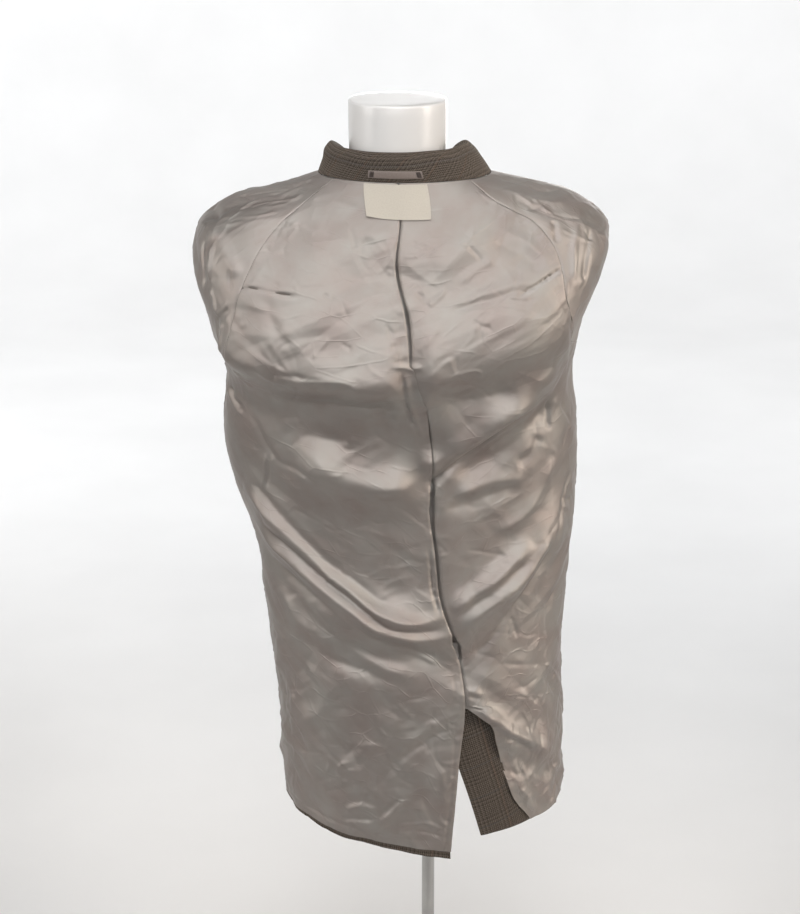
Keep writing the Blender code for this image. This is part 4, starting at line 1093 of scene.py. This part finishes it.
def tuck_ring(tuck, side, angle):
    """One section of the pushed-in sleeve, from the wall next to the form round by the back."""
    if side < 0:
        inner, outer, square = tuck.left_in, tuck.left_out, tuck.left_square
    else:
        inner, outer, square = tuck.right_in, tuck.right_out, tuck.right_square
    half = (outer - inner) / 2
    x, y = outline(np.degrees(angle) - 90, inner + half, half, -tuck.depth, tuck.depth, square)
    share = (x - inner) / (outer - inner)
    z = tuck.inner_z + (tuck.outer_z - tuck.inner_z) * share
    return MM * np.stack([x, y, z], -1)


def smooth_rows(rows, steps):
    """More rows between given rows of points, on smooth curves through them."""
    rows = np.asarray(rows)
    index = np.arange(len(rows), dtype=float)
    at = np.linspace(0, len(rows) - 1, (len(rows) - 1) * steps + 1)
    flat = rows.reshape(len(rows), -1)
    found = [curve(index, flat[:, k], at) for k in range(flat.shape[1])]
    return np.stack(found, -1).reshape(len(at), *rows.shape[1:])


def around_step(ring):
    """From each point's neighbour before it to the one after it, round a closed ring."""
    return np.roll(ring, -1, axis=-2) - np.roll(ring, 1, axis=-2)


def add_sleeve(name, side, raglans, finishes):
    """The back and front halves of one sleeve, cut from one whole tube so that they meet: its
    cap on the coat's surface, the roll at its mouth and the part that hangs inside."""
    back, front = sleeve_cap(raglans[0], side, 1), sleeve_cap(raglans[1], side, -1)
    turn, drop = (np.concatenate([b, f[:, -2:0:-1]], axis=1) for b, f in zip(back, front))
    base, out = coat(turn, drop), coat_out(turn, drop)
    height = crease_lift([*CREASES, *stars(name)], base) + crush_lift(turn, drop)
    height = height + rolled(along(base, 0), SEAM_DIP, SEAM_ROLL)
    cap = base + height[..., None] * out
    inward = side * unit(np.cross(out[-1], around_step(cap[-1])))
    angle = np.linspace(0, 2 * np.pi, turn.shape[1], endpoint=False)
    bend = MOUTH_BENDS[0] + (MOUTH_BENDS[1] - MOUTH_BENDS[0]) * (1 - np.cos(angle)) / 2
    roll = []
    for step in range(1, SLEEVE_ROLL_STEPS + 1):
        bent = np.radians(bend)[:, None] * step / SLEEVE_ROLL_STEPS
        roll.append(cap[-1] + MOUTH_ROLL * (np.sin(bent) * inward - (1 - np.cos(bent)) * out[-1]))
    tucks = [tuck_ring(tuck, side, angle) for tuck in SLEEVE_TUCKS]
    whole = np.concatenate([cap, roll[:-1], smooth_rows([roll[-1]] + tucks, SLEEVE_TUCK_STEPS)])
    normals = side * unit(np.cross(around_step(whole), np.gradient(whole, axis=0)))
    inner = whole - LINED_WALL * normals
    inner[:len(cap)] = base + (lowest_near(height, INSIDE_STEP) - LINED_WALL)[..., None] * out
    half = SLEEVE_NECK_STEPS + SLEEVE_SEAM_STEPS
    for suffix, picked in (("back", range(half + 1)), ("front", range(half, 2 * half + 1))):
        columns = [column % (2 * half) for column in picked]
        if side > 0:
            columns.reverse()
        add_cloth(f"{name}_{suffix}", whole[:, columns], inner[:, columns], finishes, "lining_satin",
                  step=INSIDE_STEP, held="draped")


def collar(turn, way):
    """The collar's shown face. way is in millimetres from the foot of the stand up and over it."""
    knots = [row.way for row in COLLAR_ROWS]
    size = {}
    for column in ("middle", "half", "back", "front", "back_z", "side_z", "front_z"):
        size[column] = MM * curve(knots, [getattr(row, column) for row in COLLAR_ROWS], way)
    x, y = outline(turn, size["middle"], size["half"], size["back"], size["front"])
    z = between_levels(turn, size["back_z"], size["side_z"], size["front_z"])
    return np.stack([x, y, z], -1)


def collar_out(turn, way):
    """Unit normals of the collar's shown face."""
    turn_step, way_step = 0.5, 0.2
    across = collar(turn + turn_step, way) - collar(turn - turn_step, way)
    up = collar(turn, way + way_step) - collar(turn, way - way_step)
    return unit(np.cross(across, up))


def add_collar(tweed, sewn_on):
    """The folded collar, with the slight waves of a worn one."""
    turns = np.linspace(-COLLAR_END_TURN, COLLAR_END_TURN, COLLAR_STEPS[0] + 1)
    turn, way = np.meshgrid(turns, np.linspace(COLLAR_WAY, 0, COLLAR_STEPS[1] + 1))
    face, out = collar(turn, way), collar_out(turn, way)
    swell = np.sin(turn / COLLAR_SWELL_TURN + COLLAR_SWELL_START)
    ripple = COLLAR_RIPPLE_SHARE * np.sin(turn / COLLAR_RIPPLE_TURN + way / COLLAR_RIPPLE_WAY)
    wave = swell * np.sin(turn / COLLAR_WAVE_TURN) + ripple
    height = COLLAR_WAVE * wave * soft_step(way / COLLAR_WAVE_START)
    face = face + height[..., None] * out
    add_cloth("collar", face, face - COLLAR_WALL * out, [tweed], "checked_tweed", held="folded",
              with_pieces=sewn_on)


def thread_stitch(start, end, out, radius):
    """Points and faces of one stitch that arches between two places on the cloth."""
    share = np.linspace(0, 1, STITCH_STEPS + 1)[:, None]
    arch = radius * (STITCH_ARCH * np.sin(np.pi * share) - STITCH_SINK)
    line = start + (end - start) * share + out * arch
    tangent = unit(end - start)
    aside = unit(np.cross(tangent, out))
    angle = np.linspace(0, 2 * np.pi, STITCH_SIDES, endpoint=False)
    ring = radius * (np.cos(angle)[:, None] * aside + np.sin(angle)[:, None] * out)
    points = (line[:, None] + ring[None]).reshape(-1, 3)
    faces = [tuple(range(STITCH_SIDES))[::-1]]
    for row in range(STITCH_STEPS):
        for k in range(STITCH_SIDES):
            near, far = row * STITCH_SIDES + k, row * STITCH_SIDES + (k + 1) % STITCH_SIDES
            faces.append((near, far, far + STITCH_SIDES, near + STITCH_SIDES))
    faces.append(tuple(STITCH_STEPS * STITCH_SIDES + k for k in range(STITCH_SIDES)))
    return points, faces


def add_loop(tape, thread):
    """The hanging loop across the collar's stand, and the thread tacks at its two ends."""
    ways = np.linspace(LOOP_WAYS[1], LOOP_WAYS[0], LOOP_STEPS[1] + 1)
    turn, way = np.meshgrid(np.linspace(*LOOP_TURNS, LOOP_STEPS[0] + 1), ways)
    face, out = collar(turn, way), collar_out(turn, way)
    share = (turn - LOOP_TURNS[0]) / (LOOP_TURNS[1] - LOOP_TURNS[0])
    edge = np.minimum(way - LOOP_WAYS[0], LOOP_WAYS[1] - way) * MM
    bow = LOOP_BOW * np.sin(np.pi * share) ** 2 + rolled(edge, LOOP_EDGE_DIP, LOOP_EDGE_ROLL)
    inside = face + (SEAM_GAP + bow)[..., None] * out
    points, faces = [], []
    for end, inward in ((LOOP_TURNS[0], 1), (LOOP_TURNS[1], -1)):
        for k in range(TACK_STITCHES):
            foot = np.array(end + inward * (TACK_START + TACK_SPACING * k))
            low, high = (np.array(tack_way) for tack_way in TACK_WAYS)
            normal = collar_out(foot, (low + high) / 2)
            seat = normal * (SEAM_GAP + TRIM_WALL)
            bottom, top = collar(foot, low) + seat, collar(foot + TACK_SLANT * inward, high) + seat
            made, made_faces = thread_stitch(bottom, top, normal, THREAD_RADIUS)
            start = sum(len(stitch) for stitch in points)
            points.append(made)
            faces += [tuple(start + corner for corner in corners) for corners in made_faces]
    tacks = add_piece("loop_tacks", np.concatenate(points), faces, [thread])
    loop = add_cloth("hanging_loop", inside + TRIM_WALL * out, inside, [tape], "loop_tape")
    return [loop, tacks]


def add_label(cloth):
    """The blank woven label under the collar, laid on the back and moved out. Its free lower
    corners curl a little."""
    left, right = trace(LABEL_LEFT_EDGE, LABEL_STEPS[1]), trace(LABEL_RIGHT_EDGE, LABEL_STEPS[1])
    turn, drop = grid_between(left, right, np.linspace(0, 1, LABEL_STEPS[0] + 1))
    base, out = coat(turn, drop), coat_out(turn, drop)
    across = np.linspace(-1, 1, LABEL_STEPS[0] + 1)[None, :]
    down = np.linspace(0, 1, LABEL_STEPS[1] + 1)[:, None]
    corners = 1 - LABEL_CORNERS + LABEL_CORNERS * np.abs(across) ** 3
    ripple = LABEL_RIPPLE * np.sin(LABEL_RIPPLE_WAVE * across) * down
    height = crease_lift(CREASES, base) + SEAM_GAP + LABEL_CURL * (down**3 * corners + ripple)
    inside = base + height[..., None] * out
    add_cloth("neck_label", inside + TRIM_WALL * out, inside, [cloth], "label_cloth",
              held="laid", rests_on=["back_left", "back_right"])


def add_smooth_copy(node, finish, sharp_degrees):
    """A finer copy of a rigid node: loose triangles merged and joined to quads, edges kept crisp."""
    bpy.ops.object.select_all(action="DESELECT")
    piece = bpy.data.objects.new(f"{node}_shell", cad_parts[node].data.copy())
    bpy.context.scene.collection.objects.link(piece)
    piece.select_set(True)
    bpy.context.view_layer.objects.active = piece
    bpy.ops.object.mode_set(mode="EDIT")
    bpy.ops.mesh.select_all(action="SELECT")
    bpy.ops.mesh.remove_doubles(threshold=MERGE_REACH)
    quad_angle = math.radians(QUAD_ANGLE)
    bpy.ops.mesh.tris_convert_to_quads(face_threshold=quad_angle, shape_threshold=quad_angle)
    bpy.ops.mesh.select_all(action="DESELECT")
    bpy.ops.mesh.select_mode(type="EDGE")
    bpy.ops.mesh.edges_select_sharp(sharpness=math.radians(sharp_degrees))
    bpy.ops.transform.edge_crease(value=RIM_CREASE)
    bpy.ops.object.mode_set(mode="OBJECT")
    finer = piece.modifiers.new("finer", "SUBSURF")
    finer.levels = SHELL_LEVELS
    finer.render_levels = SHELL_LEVELS
    bpy.ops.object.modifier_apply(modifier="finer")
    bpy.ops.object.shade_smooth_by_angle(angle=math.radians(SHELL_SHARP_ANGLE))
    piece.data.materials.clear()
    piece.data.materials.append(finish)
    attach(piece, "root")
    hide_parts(node)


def hex_colour(code):
    """Linear colour of an sRGB hex value."""
    channels = np.array([int(code[k:k + 2], 16) for k in (1, 3, 5)]) / 255
    linear = np.where(channels <= 0.04045, channels / 12.92, ((channels + 0.055) / 1.055) ** 2.4)
    return (*linear.tolist(), 1.0)


def add_node(tree, kind, inputs=None, stops=None, **settings):
    """A shader node with its settings. An input takes a value, or the output of another node, and
    stops are a ramp's places and colours."""
    node = tree.nodes.new(f"ShaderNode{kind}")
    for name, value in settings.items():
        setattr(node, name, value)
    for place, (at, code) in enumerate(stops or ()):
        stop = node.color_ramp.elements[place] if place < 2 else node.color_ramp.elements.new(at)
        stop.position = at
        stop.color = hex_colour(code)
    for key, value in (inputs or {}).items():
        if isinstance(value, bpy.types.NodeSocket):
            tree.links.new(value, node.inputs[key])
        else:
            node.inputs[key].default_value = value
    return node


def new_material(name):
    """A material with nothing in it but its output."""
    made = bpy.data.materials.new(name)
    made.use_nodes = True
    made.node_tree.nodes.clear()
    return made, made.node_tree


def finish_material(tree, inputs):
    """The material's shader, with its inputs, and its output."""
    shader = add_node(tree, "BsdfPrincipled", inputs)
    add_node(tree, "OutputMaterial", {"Surface": shader.outputs[0]})


def make_satin():
    """Woven acetate satin: long shiny floats give a soft lustre that runs across the warp and is
    tinted by the cloth, as on a metal. It has fine warp streaks, thin pressed lines, and a faint
    unevenness of tone from wear."""
    made, tree = new_material("acetate_satin_lining")
    place = add_node(tree, "UVMap", uv_map="cloth").outputs[0]
    tone = add_node(tree, "TexNoise", {
        "Vector": place, "Scale": 1 / SATIN_PATCH, "Detail": 3.0, "Roughness": 0.55,
    }).outputs[0]
    colour = add_node(tree, "ValToRGB", {"Fac": tone}, stops=SATIN_TONES)
    # Warp floats are about 0.1 mm apart, and are drawn coarser so that they show in the render
    warp_place = add_node(tree, "Mapping", {
        "Vector": place, "Scale": (1 / WARP_PITCH, 1 / WARP_RUN, 1.0),
    })
    warp = add_node(tree, "TexNoise", {"Vector": warp_place.outputs[0], "Scale": 1.0, "Detail": 2.0})
    wander = add_node(tree, "TexNoise", {
        "Vector": place, "Scale": 1 / PRESSED_WANDER_SIZE, "Detail": 2.0,
    })
    shift = add_node(tree, "VectorMath", {
        0: wander.outputs[1], 1: (PRESSED_WANDER,) * 3,
    }, operation="MULTIPLY")
    bent = add_node(tree, "VectorMath", {0: place, 1: shift.outputs[0]}, operation="ADD").outputs[0]
    down = add_node(tree, "SeparateXYZ", {0: place}).outputs[1]
    low = add_node(tree, "MapRange", {
        "Value": down, "From Min": PRESSED_DROPS[0], "From Max": PRESSED_DROPS[1],
        "To Min": PRESSED_HIGH_UP,
    })
    surface = None
    for line in PRESSED_LINES:
        laid = add_node(tree, "Mapping", {
            "Vector": bent, "Rotation": (0, 0, math.radians(line.heading)),
            "Scale": (1 / line.long, 2 / line.long, 1.0),
        })
        facets = add_node(tree, "TexVoronoi", {
            "Vector": laid.outputs[0], "Scale": 1.0,
        }, feature="DISTANCE_TO_EDGE", voronoi_dimensions="2D")
        ridge = add_node(tree, "MapRange", {
            "Value": facets.outputs["Distance"], "From Max": PRESSED_LINE_SHARE,
            "To Min": 1.0, "To Max": 0.0,
        })
        patch = add_node(tree, "MapRange", {
            "Value": tone, "From Min": line.none, "From Max": line.most, "To Max": low.outputs[0],
        })
        height = add_node(tree, "Math", {
            0: ridge.outputs[0], 1: patch.outputs[0],
        }, operation="MULTIPLY")
        pressed = {"Height": height.outputs[0], "Strength": 1.0, "Distance": line.depth}
        if surface:
            pressed["Normal"] = surface
        surface = add_node(tree, "Bump", pressed).outputs[0]
    streaked = add_node(tree, "Bump", {
        "Height": warp.outputs[0], "Strength": 0.22, "Distance": WARP_DEPTH, "Normal": surface,
    })
    gloss = add_node(tree, "MapRange", {"Value": tone, "To Min": 0.54, "To Max": 0.62})
    tangent = add_node(tree, "Tangent", direction_type="UV_MAP", uv_map="cloth")
    finish_material(tree, {
        "Base Color": colour.outputs[0], "Roughness": gloss.outputs[0], "Normal": streaked.outputs[0],
        "Metallic": 0.75, "Anisotropic": 0.3, "Tangent": tangent.outputs[0], "Specular IOR Level": 1.0,
        "IOR": 1.6, "Sheen Weight": 0.15, "Sheen Roughness": 0.4, "Sheen Tint": hex_colour("#dcdad8"),
    })
    return made


def make_tweed():
    """Woollen tweed in a small glen check: light and dark yarns in a twill, in bands of fine and of
    broad stripes, a faint rust and slate overcheck, and loose fibre that dulls it."""
    made, tree = new_material("checked_wool_tweed")
    place = add_node(tree, "UVMap", uv_map="cloth").outputs[0]
    fuzz = add_node(tree, "TexNoise", {
        "Vector": place, "Scale": 1 / FIBRE_SIZE, "Detail": 3.0, "Roughness": 0.7,
    })
    wander = add_node(tree, "VectorMath", {
        0: fuzz.outputs[1], 1: (YARN_WANDER,) * 3,
    }, operation="MULTIPLY")
    uneven = add_node(tree, "VectorMath", {0: place, 1: wander.outputs[0]}, operation="ADD")
    axes = add_node(tree, "SeparateXYZ", {0: uneven.outputs[0]})
    stripes = []
    for axis in (0, 1):
        waves = []
        for pitch in (CHECK_PITCH, 2 * CHECK_PITCH, BAND_PITCH):
            angle = add_node(tree, "Math", {
                0: axes.outputs[axis], 1: 2 * math.pi / pitch,
            }, operation="MULTIPLY")
            waves.append(add_node(tree, "Math", {0: angle.outputs[0]}, operation="SINE").outputs[0])
        fine, broad, slow = waves
        band = add_node(tree, "MapRange", {
            "Value": slow, "From Min": -0.3, "From Max": 0.3, "To Max": BAND_BROAD,
        })
        stripe = add_node(tree, "Mix", {0: band.outputs[0], 2: fine, 3: broad}, data_type="FLOAT")
        stripes.append(stripe.outputs[0])
    slant = add_node(tree, "Math", {0: axes.outputs[0], 1: axes.outputs[1]}, operation="ADD")
    twill_angle = add_node(tree, "Math", {
        0: slant.outputs[0], 1: 4 * math.pi / CHECK_PITCH,
    }, operation="MULTIPLY")
    twill = add_node(tree, "Math", {0: twill_angle.outputs[0]}, operation="SINE").outputs[0]
    over = add_node(tree, "MapRange", {"Value": twill, "From Min": -0.4, "From Max": 0.4})
    yarn = add_node(tree, "Mix", {0: over.outputs[0], 2: stripes[0], 3: stripes[1]}, data_type="FLOAT")
    light = add_node(tree, "MapRange", {"Value": yarn.outputs[0], "From Min": -1.0, "From Max": 1.0})
    colour = add_node(tree, "ValToRGB", {"Fac": light.outputs[0]}, stops=TWEED_YARNS).outputs[0]
    for axis, code in enumerate(OVERCHECK_COLOURS):
        far = add_node(tree, "Math", {0: axes.outputs[axis], 1: OVERCHECK_PITCH}, operation="PINGPONG")
        line = add_node(tree, "MapRange", {
            "Value": far.outputs[0], "From Min": OVERCHECK_LINE[0], "From Max": OVERCHECK_LINE[1],
            "To Min": OVERCHECK_SHARE, "To Max": 0.0,
        })
        colour = add_node(tree, "Mix", {
            0: line.outputs[0], 6: colour, 7: hex_colour(code),
        }, data_type="RGBA").outputs[2]
    speckle = add_node(tree, "MapRange", {
        "Value": fuzz.outputs[0], "From Min": 0.3, "From Max": 0.7,
        "To Min": FIBRE_TONES[0], "To Max": FIBRE_TONES[1],
    })
    flecked = add_node(tree, "Mix", {
        0: 1.0, 6: colour, 7: speckle.outputs[0],
    }, data_type="RGBA", blend_type="MULTIPLY")
    woolly = add_node(tree, "Bump", {
        "Height": fuzz.outputs[0], "Strength": 0.5, "Distance": FIBRE_DEPTH,
    })
    ribbed = add_node(tree, "Bump", {
        "Height": twill, "Strength": 0.35, "Distance": TWILL_DEPTH, "Normal": woolly.outputs[0],
    })
    finish_material(tree, {
        "Base Color": flecked.outputs[2], "Roughness": 0.92, "Normal": ribbed.outputs[0],
        "Sheen Weight": 0.25, "Sheen Roughness": 0.6, "Sheen Tint": hex_colour("#a79a8c"),
        "Specular IOR Level": 0.2,
    })
    return made


def make_ribbed(name, dark, light, rib, roughness):
    """Narrow woven cloth with fine ribs across its length, as in a ribbon, a label or a thread."""
    made, tree = new_material(name)
    place = add_node(tree, "UVMap", uv_map="cloth").outputs[0]
    rib_place = add_node(tree, "Mapping", {"Vector": place, "Scale": (1 / rib, 1 / (6 * rib), 1.0)})
    ribs = add_node(tree, "TexWave", {
        "Vector": rib_place.outputs[0], "Scale": RIB_SCALE, "Distortion": 1.2, "Detail": 2.0,
    })
    weave = add_node(tree, "TexNoise", {"Vector": place, "Scale": 1 / (2.2 * rib), "Detail": 3.0})
    tone = add_node(tree, "Mix", {0: 0.5, 2: ribs.outputs[1], 3: weave.outputs[0]}, data_type="FLOAT")
    colour = add_node(tree, "ValToRGB", {"Fac": tone.outputs[0]}, stops=((0.15, dark), (0.8, light)))
    bump = add_node(tree, "Bump", {"Height": tone.outputs[0], "Strength": 0.5, "Distance": RIB_DEPTH})
    finish_material(tree, {
        "Base Color": colour.outputs[0], "Roughness": roughness, "Normal": bump.outputs[0],
        "Sheen Weight": 0.1,
    })
    return made


def make_smooth(name, tones, roughness, metallic, grain, depth, coat_weight=0.0):
    """A hard smooth finish with a faint unevenness of tone, gloss and surface."""
    made, tree = new_material(name)
    place = add_node(tree, "TexCoord").outputs["Object"]
    mottle = add_node(tree, "TexNoise", {"Vector": place, "Scale": 1 / grain, "Detail": 3.0}).outputs[0]
    colour = add_node(tree, "ValToRGB", {"Fac": mottle}, stops=((0.3, tones[0]), (0.7, tones[1])))
    gloss = add_node(tree, "MapRange", {
        "Value": mottle, "To Min": 0.85 * roughness, "To Max": 1.15 * roughness,
    })
    bump = add_node(tree, "Bump", {"Height": mottle, "Strength": 0.2, "Distance": depth})
    finish_material(tree, {
        "Base Color": colour.outputs[0], "Roughness": gloss.outputs[0], "Metallic": metallic,
        "Normal": bump.outputs[0], "Coat Weight": coat_weight,
    })
    return made


def add_camera():
    """A camera at the photograph's viewing angle, slightly above the coat."""
    lens = bpy.data.cameras.new("camera")
    lens.sensor_width = SENSOR_SIZE
    lens.lens = SENSOR_SIZE * FOCAL_PIXELS / PICTURE_HEIGHT
    camera = bpy.data.objects.new("camera", lens)
    camera.location = CAMERA_PLACE
    camera.rotation_euler = (math.radians(90 - CAMERA_TILT), 0, 0)
    bpy.context.scene.collection.objects.link(camera)
    bpy.context.scene.camera = camera


def add_studio(paper):
    """A pale floor that sweeps up into a low wall all round."""
    bpy.ops.object.select_all(action="DESELECT")
    bpy.ops.mesh.primitive_circle_add(vertices=FLOOR_SIDES, radius=FLOOR_RADIUS, fill_type="TRIFAN")
    studio = bpy.context.object
    studio.name = "studio_floor"
    bpy.ops.object.mode_set(mode="EDIT")
    bpy.ops.mesh.select_all(action="SELECT")
    bpy.ops.mesh.region_to_loop()
    reach, height = FLOOR_RADIUS, 0.0
    for step in range(1, COVE_STEPS + 1):
        angle = math.radians(90 * step / COVE_STEPS)
        new_reach = FLOOR_RADIUS + COVE_RADIUS * math.sin(angle)
        new_height = COVE_RADIUS * (1 - math.cos(angle))
        bpy.ops.mesh.extrude_edges_move(TRANSFORM_OT_translate={"value": (0, 0, new_height - height)})
        bpy.ops.transform.resize(value=(new_reach / reach, new_reach / reach, 1))
        reach, height = new_reach, new_height
    bpy.ops.mesh.extrude_edges_move(TRANSFORM_OT_translate={"value": (0, 0, WALL_RISE)})
    bpy.ops.mesh.select_all(action="SELECT")
    bpy.ops.mesh.normals_make_consistent(inside=True)
    bpy.ops.object.mode_set(mode="OBJECT")
    bpy.ops.object.shade_smooth()
    studio.data.materials.append(paper)


def add_softbox(softbox):
    """A soft area light that points at a place, with a grid that narrows its spread."""
    light = bpy.data.lights.new(softbox.name, "AREA")
    light.shape = "RECTANGLE"
    light.size, light.size_y = softbox.size
    light.energy = softbox.power
    light.color = hex_colour(softbox.colour)[:3]
    light.spread = math.radians(softbox.spread)
    box = bpy.data.objects.new(softbox.name, light)
    box.location = softbox.place
    beam = Vector(softbox.aim) - Vector(softbox.place)
    box.rotation_euler = beam.to_track_quat("-Z", "Y").to_euler()
    box.visible_camera = False
    bpy.context.scene.collection.objects.link(box)


def add_lights():
    """The softboxes, and a little light from all round."""
    for softbox in SOFTBOXES:
        add_softbox(softbox)
    world = bpy.data.worlds.new("studio_air")
    world.use_nodes = True
    air = world.node_tree.nodes["Background"]
    air.inputs["Color"].default_value = hex_colour(WORLD_COLOUR)
    air.inputs["Strength"].default_value = WORLD_STRENGTH
    bpy.context.scene.world = world
    bpy.context.scene.view_settings.view_transform = "Standard"


# Painted floor: pale, matt and even
floor_paint = make_smooth(
    "painted_studio_floor", ("#ecebea", "#f1f0ef"),
    roughness=0.8, metallic=0.0, grain=400 * MM, depth=0.2 * MM,
)
# Polished chrome plate: a clear mirror with a faint haze
chrome = make_smooth(
    "polished_chrome_plate", ("#a09f9d", "#b4b3b1"),
    roughness=0.14, metallic=1.0, grain=60 * MM, depth=0.05 * MM,
)
# Moulded ABS with a gloss coat: white, with a soft clear shine
white_shell = make_smooth(
    "gloss_abs_shell", ("#cfcecd", "#d7d6d5"),
    roughness=0.3, metallic=0.0, grain=90 * MM, depth=0.1 * MM, coat_weight=0.3,
)
# Rayon ribbon: a dull sheen on fine ribs
ribbon = make_ribbed("rayon_ribbon", "#5b504b", "#7a6f69", rib=0.9 * MM, roughness=0.5)
# Cotton thread: dark and matt
thread = make_ribbed("cotton_thread", "#2b2320", "#4a3d37", rib=0.5 * MM, roughness=0.8)
# Woven cotton: a pale matt weave with faint ribs
label_cloth = make_ribbed("woven_cotton_label", "#9f988e", "#b4aea3", rib=0.8 * MM, roughness=0.75)
satin, tweed = make_satin(), make_tweed()

add_camera()
add_studio(floor_paint)
add_lights()

# The crushed faces are worked out once, for all the pieces of cloth
CRUSH_SURFACES = [(layer, crush_surface(layer)) for layer in CRUSHES]

add_backs(satin, tweed)
add_fronts(satin, tweed)
add_sleeve("sleeve_left", -1, (RAGLAN_BACK_LEFT, RAGLAN_FRONT_LEFT), [satin, tweed])
add_sleeve("sleeve_right", 1, (RAGLAN_BACK_RIGHT, RAGLAN_FRONT_RIGHT), [satin, tweed])
add_collar(tweed, add_loop(ribbon, thread))
add_label(label_cloth)
add_smooth_copy("dress_form", white_shell, sharp_degrees=40)
add_smooth_copy("pole", chrome, sharp_degrees=40)
add_smooth_copy("base_plate", chrome, sharp_degrees=20)
